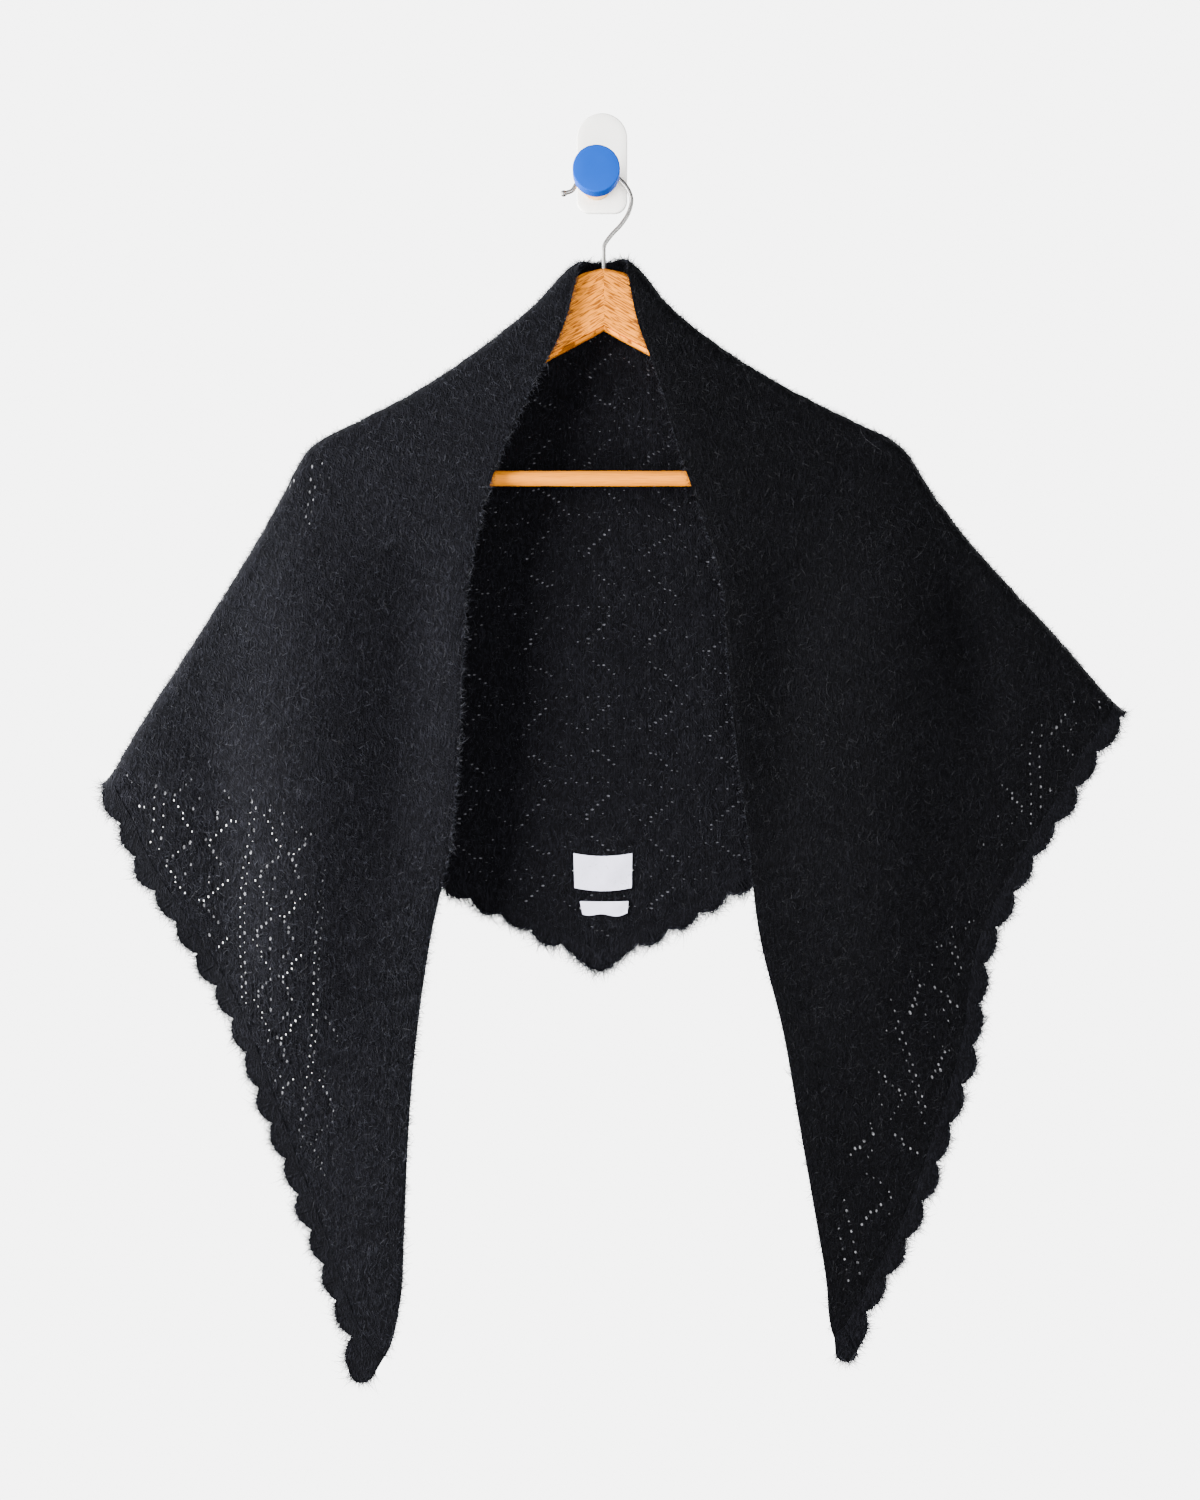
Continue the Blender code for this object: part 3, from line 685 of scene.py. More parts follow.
def back_half(side, run, depth):
    """Middle of the back's wall at flat places run, depth, on one side of the centre."""
    top = fold_depth(side, run)
    outer = path(FOLD_LINE[side], run)
    outer[:, 2] -= FOLD_OUT
    closing = ease((run - NECK_TURN[0]) / (NECK_TURN[1] - NECK_TURN[0]))
    walked = (depth - top) / np.maximum(side_depth(run) - top, 1e-6)
    flat, forward, _ = wrap(outer, path(HEM[side], run), walked, closing, -1)
    for flute in FLUTES[side]:
        bump = 0.5 + 0.5 * np.cos(np.clip((run - flute.run) / flute.half_width, -1, 1) * math.pi)
        forward = forward + flute.height * bump * ease(walked)
    return np.column_stack([flat, forward])


def place_front(side):
    """A function from signed run and depth to a front's middle, in Blender's axes."""
    def place(run, depth):
        return to_space(front_point(side, np.abs(run), depth))
    return place


def place_back(run, depth):
    """The back's middle at signed run and depth, in Blender's axes."""
    halves = [back_half(side, np.abs(run), depth) for side in SIDES]
    return to_space(np.where((run < 0)[:, None], *halves))


def surface(place, run, depth):
    """Middle of the cloth, and its unit normal towards the cloth's outer side."""
    step = 0.6
    along = place(run + step, depth) - place(run - step, depth)
    down = place(run, depth + step) - place(run, depth - step)
    return place(run, depth), unit(np.cross(along, down))


# Mesh helpers

def add_piece(name, points, faces, finish, uv=None, smooth_angle=50):
    """Object from points in millimetres, that rides on the body and has its finish."""
    mesh = bpy.data.meshes.new(name)
    mesh.from_pydata((np.asarray(points) * MM).tolist(), [], faces)
    if uv is not None:
        layer = mesh.uv_layers.new(name="stitches")
        corners = np.empty(len(mesh.loops), np.int32)
        mesh.loops.foreach_get("vertex_index", corners)
        layer.data.foreach_set("uv", np.asarray(uv, np.float32)[corners].ravel())
    mesh.shade_smooth()
    mesh.set_sharp_from_angle(angle=math.radians(smooth_angle))
    mesh.materials.append(finish)
    obj = bpy.data.objects.new(name, mesh)
    bpy.context.scene.collection.objects.link(obj)
    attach(obj, BODY)
    return obj


def closed_shell(faces, count):
    """Faces of both layers of a wall and of its rims. The second layer's points follow the first's."""
    edges = {(face[k - 1], face[k]) for face in faces for k in range(len(face))}
    rims = [[b, a, a + count, b + count] for a, b in sorted(edges) if (b, a) not in edges]
    return faces + [[v + count for v in reversed(face)] for face in faces] + rims


def grid_faces(rows, columns):
    """Faces of a grid, whose points are numbered row by row."""
    faces = []
    for i in range(rows - 1):
        for j in range(columns - 1):
            k = i * columns + j
            faces.append([k, k + columns, k + columns + 1, k + 1])
    return faces


def ring_faces(rings, sides):
    """Faces of a tube of rings with closed ends."""
    faces = []
    for i in range(rings - 1):
        for j in range(sides):
            k = (j + 1) % sides
            faces.append([i * sides + j, i * sides + k, (i + 1) * sides + k, (i + 1) * sides + j])
    faces.append(list(range(sides))[::-1])
    faces.append(list(range((rings - 1) * sides, rings * sides)))
    return faces


def ring_uv(rings):
    """Length and girth of each point of a stack of rings, in millimetres."""
    rings = np.asarray(rings)
    middle = rings.mean(axis=1)
    along = np.repeat(arc_length(middle)[:, None], rings.shape[1], axis=1)
    step = np.linalg.norm(rings - np.roll(rings, 1, axis=1), axis=2)
    return np.stack([along, np.cumsum(step, axis=1)], axis=-1).reshape(-1, 2)


def fix_outside(obj):
    """Turn a closed mesh's faces outwards."""
    mesh = obj.data
    mesh.calc_loop_triangles()
    points = np.array([v.co for v in mesh.vertices])
    corners = points[np.array([t.vertices[:] for t in mesh.loop_triangles])]
    volume = np.sum(corners[:, 0] * np.cross(corners[:, 1], corners[:, 2]))
    if volume < 0:
        mesh.flip_normals()


def circle(centre, radius, first, second, sides):
    """Ring of points about a centre, in the plane of two unit directions."""
    angles = np.arange(sides) * 2 * math.pi / sides
    return centre + radius * (np.outer(np.cos(angles), first) + np.outer(np.sin(angles), second))


def add_rings(name, rings, finish, smooth_angle=50, uv=None):
    """Closed tube through a stack of rings, with its length and girth as its map unless one is given."""
    rings = np.asarray(rings, float)
    faces = ring_faces(len(rings), rings.shape[1])
    uv = ring_uv(rings) if uv is None else uv
    tube = add_piece(name, rings.reshape(-1, 3), faces, finish, uv, smooth_angle)
    fix_outside(tube)
    return tube


# Materials

def add_node(tree, kind, inputs=None, **settings):
    """Shader node with its settings, whose inputs are sockets to join or values."""
    node = tree.nodes.new(kind)
    for name, value in settings.items():
        setattr(node, name, value)
    for name, value in (inputs or {}).items():
        if isinstance(value, bpy.types.NodeSocket):
            tree.links.new(value, node.inputs[name])
        else:
            node.inputs[name].default_value = value
    return node


def maths(tree, operation, first, second=0.0, clamp=False):
    """Output of a Math node."""
    node = add_node(tree, "ShaderNodeMath", {0: first, 1: second}, operation=operation)
    node.use_clamp = clamp
    return node.outputs[0]


def times(tree, first, second, clamp=False):
    """Product of two values."""
    return maths(tree, "MULTIPLY", first, second, clamp)


def plus(tree, first, second, clamp=False):
    """Sum of two values."""
    return maths(tree, "ADD", first, second, clamp)


def sine(tree, value, pace):
    """Sine of a value that is first made larger by a pace."""
    return maths(tree, "SINE", times(tree, value, pace))


def map_places(tree):
    """Places on the piece's own map."""
    return add_node(tree, "ShaderNodeUVMap", uv_map="stitches").outputs[0]


def object_places(tree):
    """Places in the piece, in metres."""
    return add_node(tree, "ShaderNodeTexCoord").outputs["Object"]


def noise(tree, vector, scale, detail=2.0, roughness=0.5, distortion=0.0):
    """Grey output of a Noise texture."""
    inputs = {"Vector": vector, "Scale": scale, "Detail": detail, "Roughness": roughness}
    inputs["Distortion"] = distortion
    return add_node(tree, "ShaderNodeTexNoise", inputs).outputs[0]


def stretched(tree, vector, scale, turn=(0, 0, 0)):
    """Vector scaled apart along turned axes."""
    inputs = {"Vector": vector, "Scale": scale, "Rotation": turn}
    return add_node(tree, "ShaderNodeMapping", inputs).outputs[0]


def between(tree, share, low, high):
    """Share mapped from low to high to the range from 0 to 1."""
    inputs = {"Value": share, "From Min": low, "From Max": high}
    return add_node(tree, "ShaderNodeMapRange", inputs).outputs[0]


def blend_colours(tree, share, first, second):
    """Colour between two colours."""
    node = add_node(tree, "ShaderNodeMix", data_type="RGBA")
    for socket, value in ((node.inputs[0], share), (node.inputs[6], first), (node.inputs[7], second)):
        if isinstance(value, bpy.types.NodeSocket):
            tree.links.new(value, socket)
        else:
            socket.default_value = value
    return node.outputs[2]


def opaque(rgb, share=1.0):
    """Colour with its alpha, made lighter or darker by a share."""
    return (*[min(1.0, c * share) for c in rgb], 1.0)


def new_material(name, **constants):
    """Material with a Principled shader, whose constant sockets are set by name."""
    made = bpy.data.materials.new(name)
    made.use_nodes = True
    shader = made.node_tree.nodes["Principled BSDF"]
    for key, value in constants.items():
        shader.inputs[key.replace("_", " ").title()].default_value = value
    return made, made.node_tree, shader


def finish_with(tree, shader, colour_out, height, strength, distance, roughness=None):
    """Join a colour, a bump height and, where it varies, a roughness to the shader."""
    tree.links.new(colour_out, shader.inputs["Base Color"])
    inputs = {"Height": height, "Strength": strength, "Distance": distance}
    bump = add_node(tree, "ShaderNodeBump", inputs)
    tree.links.new(bump.outputs[0], shader.inputs["Normal"])
    if roughness is not None:
        tree.links.new(roughness, shader.inputs["Roughness"])


def knit_material(name, knit, share=1.0):
    """Brushed black wool and alpaca: V stitches under a felted nap of fine fibres."""
    made, tree, shader = new_material(name, roughness=0.9, sheen_weight=0.02, sheen_roughness=0.45)
    shader.inputs["Sheen Tint"].default_value = (0.80, 0.84, 0.95, 1)
    shader.inputs["Specular IOR Level"].default_value = 0.03
    places = map_places(tree)
    parts = add_node(tree, "ShaderNodeSeparateXYZ", {0: places}).outputs
    aside = maths(tree, "ABSOLUTE", maths(tree, "SUBTRACT", maths(tree, "FRACT", parts[0]), 0.5))
    slant = plus(tree, parts[1], times(tree, aside, 1.3))
    leg = sine(tree, slant, 2 * math.pi)
    rib = sine(tree, aside, 2 * math.pi)
    stitch = times(tree, plus(tree, times(tree, leg, 0.5), 0.5), rib)
    spot = object_places(tree)
    swirl = add_node(tree, "ShaderNodeTexNoise", {"Vector": spot, "Scale": 60.0, "Detail": 1.0})
    push = add_node(tree, "ShaderNodeVectorMath", {0: swirl.outputs[1], 1: (0.012, 0.012, 0.012)})
    push.operation = "MULTIPLY"
    bent = add_node(tree, "ShaderNodeVectorMath", {0: spot, 1: push.outputs[0]})
    fibres = []
    for turn, pace in (((0, 0.5, 0), 900.0), ((0, -0.75, 0), 780.0), ((0, 1.45, 0), 1050.0)):
        drawn = stretched(tree, bent.outputs[0], (1, 1, 0.17), turn)
        fibres.append(noise(tree, drawn, pace, 1.0))
    nap = maths(tree, "MAXIMUM", maths(tree, "MAXIMUM", fibres[0], fibres[1]), fibres[2])
    nap = between(tree, nap, 0.53, 0.74)
    patches = noise(tree, spot, 22.0, 3.0)
    light = plus(tree, times(tree, nap, 0.9), times(tree, stitch, 0.1))
    light = times(tree, light, plus(tree, patches, 0.5), clamp=True)
    # A share other than 1 lightens or darkens the whole colour, as painted light or painted shade
    shade = blend_colours(tree, light, opaque(knit.yarn, share), opaque(knit.nap, share))
    height = plus(tree, times(tree, stitch, 0.4), times(tree, nap, 0.8))
    finish_with(tree, shader, shade, height, 0.75, 0.0007)
    return made


def fuzz_material(name, rgb):
    """Fine animal fibre, each a little lighter or darker than the next."""
    made, tree, shader = new_material(name, roughness=0.6)
    shader.inputs["Specular IOR Level"].default_value = 0.08
    spot = object_places(tree)
    own = noise(tree, spot, 420.0, 1.0)
    shade = blend_colours(tree, between(tree, own, 0.3, 0.7), opaque(rgb, 0.12), opaque(rgb, 1.9))
    tips = noise(tree, spot, 2500.0, 0.0)
    finish_with(tree, shader, shade, tips, 0.2, 0.0001)
    return made


def tape_material(name, rgb):
    """Woven satin tape: fine ribs across it and a finer thread along it."""
    made, tree, shader = new_material(name, roughness=0.62, sheen_weight=0.15)
    places = map_places(tree)
    parts = add_node(tree, "ShaderNodeSeparateXYZ", {0: places}).outputs
    weft = sine(tree, parts[1], 2 * math.pi / 0.42)
    warp = sine(tree, parts[0], 2 * math.pi / 0.33)
    weave = times(tree, plus(tree, weft, warp), 0.25)
    spot = object_places(tree)
    soft = noise(tree, spot, 120.0, 3.0)
    share = plus(tree, times(tree, weave, 0.3), soft, clamp=True)
    shade = blend_colours(tree, share, opaque(rgb, 0.86), opaque(rgb, 1.08))
    finish_with(tree, shader, shade, weave, 0.35, 0.0002)
    return made


def wood_material(name, wood, pore, pores, roughness):
    """Oiled wood, whose rings and short dark pores run along the piece."""
    made, tree, shader = new_material(name, roughness=roughness)
    shader.inputs["Specular IOR Level"].default_value = 0.05
    places = map_places(tree)
    wander = noise(tree, stretched(tree, places, (0.02, 0.12, 1)), 1.0, 2.0)
    grain = stretched(tree, places, (0.018, 0.8, 1))
    bands = noise(tree, grain, 1.0, 3.0, 0.55, 0.6)
    threads = noise(tree, stretched(tree, places, (0.06, 2.6, 1)), 1.0, 3.0, 0.6, 0.3)
    dashes = noise(tree, stretched(tree, places, (0.095, 1.2, 1), (0, 0, 0.01)), 1.0, 1.0, 0.6)
    dashes = times(tree, between(tree, dashes, 0.52, 0.56), pores)
    share = plus(tree, times(tree, bands, 0.6), times(tree, threads, 0.4))
    share = between(tree, share, 0.3, 0.7)
    body = blend_colours(tree, share, opaque(wood, 0.58), opaque(wood, 1.25))
    warm = blend_colours(tree, between(tree, wander, 0.35, 0.65), opaque(wood, 0.9), body)
    body = blend_colours(tree, 0.75, warm, body)
    shade = blend_colours(tree, dashes, body, opaque(pore))
    height = maths(tree, "SUBTRACT", times(tree, threads, 0.3), dashes)
    rough = plus(tree, times(tree, threads, 0.15), roughness - 0.05)
    finish_with(tree, shader, shade, height, 0.3, 0.0002, rough)
    return made


def steel_material(name, rgb):
    """Drawn steel wire, a little cloudy."""
    made, tree, shader = new_material(name, metallic=1.0, roughness=0.3)
    spot = object_places(tree)
    lines = noise(tree, spot, 250.0, 2.0)
    shade = blend_colours(tree, lines, opaque(rgb, 0.8), opaque(rgb, 1.15))
    rough = plus(tree, times(tree, lines, 0.1), 0.4)
    finish_with(tree, shader, shade, lines, 0.03, 0.0001, rough)
    return made


def painted_material(name, rgb, roughness, grain):
    """Paint over a slightly uneven ground, its colour a little lighter in soft clouds and where the ground
    is high, and rougher there.
    """
    made, tree, shader = new_material(name, roughness=roughness)
    shader.inputs["Specular IOR Level"].default_value = 0.02
    spot = object_places(tree)
    ground = noise(tree, spot, grain, 4.0, 0.6)
    clouds = noise(tree, spot, 40.0, 2.0)
    share = plus(tree, times(tree, ground, 0.4), times(tree, clouds, 0.6))
    shade = blend_colours(tree, between(tree, share, 0.3, 0.7), opaque(rgb, 0.93), opaque(rgb, 1.06))
    rough = plus(tree, times(tree, ground, 0.2), roughness - 0.1)
    finish_with(tree, shader, shade, ground, 0.12, 0.0002, rough)
    return made


# The lace knit

def cloth_depth(run, depth):
    """Depth on the cloth of a depth on the lace's chart: the fronts hang a little lower than the back."""
    start, end = LACE_SHIFT_RUN
    near, far = LACE_SHIFT_DEPTH
    shift = LACE_SHIFT + (LACE_SHIFT_OUTER - LACE_SHIFT) * ease((depth - near) / (far - near))
    return depth + shift * ease((np.abs(run) - start) / (end - start))


def back_open(run, depth, on_line):
    """How open the back's eyelets are, which is the same at every run and depth."""
    return np.where(on_line, BACK_LINE_OPEN, BACK_OPEN)


def front_open(side):
    """A function from run and depth to how open a front's eyelets are, on a line or not."""
    def share(run, depth, on_line):
        run = np.abs(run)
        runs, shares, insides = np.array(FRONT_OPEN[side]).T
        way = depth / np.maximum(outer_depth(side, run), 1)
        opened = ease((way - np.interp(run, runs, insides)) / OPEN_EASE)
        return np.interp(run, runs, shares) * (CLOSED_SHARE + (1 - CLOSED_SHARE) * opened)
    return share


def lace_spots():
    """All the eyelets in the chart: run, depth on the chart, share of the usual size, whether on a line."""
    spots = []
    lower, upper = LINE_SIZES
    for line in np.arange(LINE_FIRST - LINE_APART, LINE_LAST, LINE_APART):
        for run in np.arange(-NECK_HALF, NECK_HALF, LINE_EYELETS):
            spots.append((run, line, lower, 1))
            spots.append((run + LINE_EYELETS / 2, line - LINE_PAIR, upper, 1))
    for band in np.arange(LINE_FIRST - 2 * LINE_APART, LINE_LAST, LINE_APART):
        for start in np.arange(-NECK_HALF, NECK_HALF, REPEAT):
            for chain in CHAINS:
                for k in range(chain.count):
                    along = start + chain.along + k * chain.step_along
                    down = band + chain.down + k * chain.step_down
                    spots.append((along, down, chain.share, 0))
    return np.array(spots)


def eyelet_cells(stitch, row, open_share):
    """Cells of the stitch grid that hold an eyelet, each with its share of the widest one's size."""
    spots = lace_spots()
    run = spots[:, 0]
    depth = cloth_depth(run, spots[:, 1])
    chance = np.random.default_rng(11).uniform(-1, 1, len(run))
    share = spots[:, 2] * open_share(run, depth, spots[:, 3] > 0) * (1 + OPEN_UNEVEN * chance)
    inside = depth < band_depth(run) - HEM_CLEAR
    inside &= (depth > NECK_CLEAR) & (share > OPEN_LEAST)
    columns = np.floor(run / stitch).astype(int)
    rows = np.floor(depth / row).astype(int)
    cells = {(int(c), int(r)): float(s) for c, r, s, ok in zip(columns, rows, share, inside) if ok}
    for cell in stretched_cells(stitch, row, open_share):
        cells.setdefault(cell, MESH_OPEN)
    return cells


def stretched_cells(stitch, row, open_share):
    """Cells whose plain stitches are pulled open a little, where the lace hangs stretched."""
    last = int(NECK_HALF / stitch)
    columns, rows = np.meshgrid(np.arange(-last, last), np.arange(int(DEPTH / row)))
    columns, rows = columns.ravel(), rows.ravel()
    run, depth = (columns + 0.5) * stitch, (rows + 0.5) * row
    picked = np.random.default_rng(23).uniform(0, 1, len(run)) < MESH_CHANCE
    picked &= depth < band_depth(run) - HEM_CLEAR
    picked &= open_share(run, depth, False) > MESH_FROM
    return [(int(c), int(r)) for c, r in zip(columns[picked], rows[picked])]


# Each eyelet is a ring of points in its cell. The knit's lumps are two layers: share, size and seed
RING = 8
CORNER_TURN = math.radians(225)
ROW_ROOM = 0.3
COLUMN_LEAST = 1.2
LUMP_LAYERS = ((1, 14, 3), (0.5, 6, 5))


def stitch_columns(runs, near, far, stitch, row):
    """Flat places of the stitch grid's points, and for each column its first point and its rows."""
    spots, columns = [], []
    for k, low, high in zip(runs, near, far):
        first = math.ceil(low / row + ROW_ROOM)
        last = math.floor(high / row - ROW_ROOM)
        columns.append((len(spots), first, last))
        spots.append((k * stitch, low))
        spots += [(k * stitch, j * row) for j in range(first, last + 1)]
        spots.append((k * stitch, high))
    return spots, columns


def column_points(column, low, high):
    """Points of one column between two rows, where None is the column's own end."""
    start, first, last = column
    a = start if low is None else start + 1 + low - first
    b = start + 2 + last - first if high is None else start + 1 + high - first
    return list(range(a, max(a, b) + 1))


def end_faces(here, after, low, high):
    """Faces between two columns above their first shared row and below their last one."""
    parts = [(None, None)] if low > high else [(None, low), (high, None)]
    faces = []
    for first, last in parts:
        points = column_points(here, first, last)
        faces.append(points[:1] + column_points(after, first, last) + points[:0:-1])
    return faces


def eyelet_ring(across, down, reach):
    """Flat places of the points round an eyelet, which is wider than it is tall."""
    turns = [CORNER_TURN + (m - 0.5) * 2 * math.pi / RING for m in range(RING)]
    wide, tall = EYELET_LONG * reach, EYELET_NARROW * reach
    return [(across + wide * math.cos(turn), down + tall * math.sin(turn)) for turn in turns]


def eyelet_faces(corners, ring):
    """Faces between the four corners of a cell and the ring of points in it."""
    faces = []
    for m in range(4):
        here, after = ring + 2 * m, ring + 2 * m + 1
        faces.append([corners[m], after, here])
        faces.append([corners[m], corners[(m + 1) % 4], ring + (2 * m + 2) % RING, after])
    return faces


def knit_cloth(name, knit, runs, near, far, place, open_share, finish, web):
    """Closed thin wall of knit on the stitch grid, from the near depth to the far one, with its eyelets."""
    stitch, row = knit.stitch / MM, knit.row / MM
    holes = eyelet_cells(stitch, row, open_share)
    spots, columns = stitch_columns(runs, near, far, stitch, row)
    plain = len(spots)
    faces, webs, dish = [], set(), []
    for i, (here, after) in enumerate(zip(columns, columns[1:])):
        low = max(here[1], after[1])
        high = min(here[2], after[2])
        faces += end_faces(here, after, low, high)
        for j in range(low, high):
            corners = column_points(here, j, j) + column_points(after, j, j + 1)
            corners += column_points(here, j + 1, j + 1)
            share = holes.get((math.floor(runs[i]), j))
            if share is None:
                faces.append(corners)
                continue
            ring = len(spots)
            through = share > OPEN_THROUGH
            reach = knit.eyelet / MM / 2 * share * (1 if through else WEB_WIDTH)
            spots += eyelet_ring((runs[i] + 0.5) * stitch, (j + 0.5) * row, reach)
            faces += eyelet_faces(corners, ring)
            dish += [EYELET_DISH if through else WEB_THICK] * RING
            if WEB_LEAST < share <= OPEN_THROUGH:
                webs.add(len(faces))
            if not through:
                faces.append(list(range(ring, ring + RING)))
    run, depth = np.array(spots).T
    middle, normal = surface(place, run, depth)
    half = np.full(len(spots), knit.thickness / MM / 2)
    half[plain:] *= dish
    half[np.abs(depth) < 0.01] *= EDGE_THIN
    layers = [share * lumps(run, depth, size, seed) for share, size, seed in LUMP_LAYERS]
    relief = knit.lumps / MM * sum(layers)
    outer, inner = (half + relief)[:, None], (half - relief)[:, None]
    points = np.concatenate([middle + normal * outer, middle - normal * inner])
    uv = np.column_stack([run / stitch, depth / row])
    webs = [k in webs for k, face in enumerate(faces) if len(face) > 2]
    shell = closed_shell([face for face in faces if len(face) > 2], len(spots))
    piece = add_piece(name, points, shell, finish, np.concatenate([uv, uv]))
    piece.data.materials.append(web)
    kinds = np.zeros(len(shell), np.int32)
    kinds[: 2 * len(webs)] = webs * 2
    piece.data.polygons.foreach_set("material_index", kinds)
    return piece


def front_runs(side, stitch):
    """Columns of a front's stitch grid in rising run, and the depth of its outer edge at each."""
    last = TIP_RUN - 0.2
    ks = np.arange(math.ceil(NECK_START / stitch), math.floor(last / stitch) + 1)
    outer = outer_depth(side, ks * stitch)
    keep = outer > COLUMN_LEAST
    ks, outer = np.append(ks[keep], last / stitch), np.append(outer[keep], TIP_DEPTH)
    if side == "left":
        return -ks[::-1], outer[::-1]
    return ks, outer


def back_runs(stitch):
    """Columns of the back's stitch grid from left to right, with its top and bottom depths."""
    left, right = (panel_corner(side) for side in SIDES)
    ks = np.arange(-math.floor(left / stitch), math.floor(right / stitch) + 1)
    top, bottom = back_top(ks * stitch), band_depth(ks * stitch)
    keep = bottom - top > COLUMN_LEAST
    return ks[keep], top[keep], bottom[keep]


def sheet_area(near, far, stitch):
    """Flat area of a stretch of the cloth, from the ends of its columns, in square metres."""
    return float(np.sum(far - near) * stitch * MM * MM)


class SHAWL_OT_knit(bpy.types.Operator):
    """Knit the back and the two fronts, with the eyelets of their lace"""

    bl_idname = "shawl.knit"
    bl_label = "Knit the shawl's body"

    def execute(self, context):
        knit = context.scene.shawl_knit
        stitch = knit.stitch / MM
        # The knit inside the back is a darker copy of the knit: painted shade
        finish = knit_material("black_knit_inside", knit, INSIDE_PAINTED_SHADE)
        # The back's eyelet fuzz is pale as painted light seen through its eyelets
        web = fuzz_material("eyelet_fuzz", knit.web)
        ks, top, bottom = back_runs(stitch)
        back = knit_cloth("shawl_back", knit, ks, top, bottom, place_back, back_open, finish, web)
        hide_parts("back")
        back["flat_area"] = sheet_area(top, bottom, stitch)
        for side in SIDES:
            # Each front's knit is a lighter or darker copy: painted light on the left front, painted shade
            # on the right
            finish = knit_material("black_knit_" + side, knit, FRONT_PAINTED_LIGHT_AND_SHADE[side])
            # Each front's eyelet fuzz is paler still, as painted light seen through its eyelets, by a share
            # for each side
            web = fuzz_material("eyelet_fuzz_" + side, [part * WEB_PAINTED_LIGHT[side] for part in knit.front_web])
            ks, outer = front_runs(side, stitch)
            name = "shawl_front_" + side
            place, open_share = place_front(side), front_open(side)
            front = knit_cloth(name, knit, ks, outer * 0, outer, place, open_share, finish, web)
            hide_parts("front_" + side)
            front["flat_area"] = sheet_area(outer * 0, outer, stitch)
        return {"FINISHED"}


# The crochet edging

# The band is tucked a little into the knit, and is thinner at its rim. Its map is in chain stitches
STRIP_ROWS = 7
STRIP_TUCK = 0.5
STRIP_TAPER = 0.45
CHAIN_LONG = 3.2
CHAIN_TALL = 2.6
FRONT_STEPS = 420
HEM_STEPS = 760
LOOK_INSIDE = 4

# Number of the first scallop on the hem's left half, so that the two halves aren't uneven in one way
LEFT_FIRST = 40


def lobe(distance, pitch):
    """Height of a scallop, 0 to 1, at a distance along the edge from a notch."""
    return np.sin(math.pi * ((distance / pitch) % 1)) ** LOBE_POWER


def edge_line(place, runs, depths):
    """Points of an edge, their normals, the directions out of the cloth, and the arc length."""
    edge, normal = surface(place, runs, depths)
    inside = place(runs, depths - LOOK_INSIDE)
    out = unit(np.cross(normal, np.gradient(edge, axis=0)))
    out = out * np.sign(np.sum(out * (edge - inside), axis=1))[:, None]
    return edge, normal, out, arc_length(edge)


def front_edge(side):
    """The band's inner line down the side of a front, and its width and direction out."""
    last = TIP_RUN - TIP_ROOM
    runs = np.linspace(panel_corner(side), last, FRONT_STEPS)
    place = place_front(side)
    depths = (side_depth(runs) - TRIM) * ease((last - runs) / TIP_CLOSE)
    edge, normal, out, along = edge_line(place, SIGN[side] * runs, depths)
    total = along[-1]
    pitch = total / (FRONT_SCALLOPS - 0.5)
    phase = (along / pitch + 0.5) % 1
    width = BAND + SCALLOP * lobe(along + pitch / 2, pitch) * uneven(along / pitch) + fan_bumps(phase)
    rim = edge + out * width[:, None]
    end = along > total - pitch
    rim[end] = tip_rim(side, rim[end][0], (along[end] - total + pitch) / pitch)
    width = np.linalg.norm(rim - edge, axis=1)
    return edge, normal, (rim - edge) / width[:, None], along, width, phase


def tip_rim(side, start, shares):
    """Rim of the last scallop, from its notch down to the tip and round to the neck edge."""
    tip = TIP[side]
    centre = to_space(np.array([tip.x, tip.drop, tip.forward], float))
    inwards = np.array([-SIGN[side], 0, 0])
    turn = np.clip((shares - TIP_SHARE) / (1 - TIP_SHARE), 0, 1)[:, None] * TIP_ROUND
    round_end = centre + tip.radius * (-inwards * np.cos(turn) - np.array([0, 0, 1]) * np.sin(turn))
    walk = np.clip(shares / TIP_SHARE, 0, 1)[:, None]
    bulge = TIP_LOBE * np.sin(math.pi * walk) * -inwards
    return start * (1 - walk) + round_end * walk + bulge


def fan_bumps(phase):
    """Small bumps that the stitches of a fan make along the rim of a scallop."""
    return FAN_BUMP * np.abs(np.sin(math.pi * FAN_BUMPS * phase)) ** FAN_POWER


def uneven(count):
    """Share of the usual height of each scallop, by its number along the edge, as if by chance."""
    fast, slow = 12.9898, 4.1414
    number = np.floor(count + 0.5)
    return 1 + SCALLOP_UNEVEN * np.sin(number * fast) * np.cos(number * slow)


def hem_edge():
    """The band's inner line along the back's hem, with its width and direction out."""
    left, right = (panel_corner(side) for side in SIDES)
    runs = np.linspace(-left + 1, right - 1, HEM_STEPS)
    edge, normal, out, along = edge_line(place_back, runs, band_depth(runs))
    middle = float(np.interp(0, runs, along))
    away = np.abs(along - middle)
    span = np.where(along < middle, middle, along[-1] - middle) - APEX_SCALLOP
    pitch = span / (BACK_SCALLOPS - 0.5)
    apex = (1 - np.clip(away / APEX_SCALLOP, 0, 1)) ** APEX_POWER
    past = np.maximum(away - APEX_SCALLOP, 0)
    first = np.where(along < middle, LEFT_FIRST, 0)
    scallops = lobe(past, pitch) * uneven(past / pitch - 0.5 + first)
    width = BAND + SCALLOP * np.where(away < APEX_SCALLOP, apex, scallops) + apex * APEX_EXTRA
    phase = np.where(away < APEX_SCALLOP, 0.5 + 0.5 * (along - middle) / APEX_SCALLOP, past / pitch % 1)
    width = width + fan_bumps(phase)
    return edge, normal, out, along, width, phase


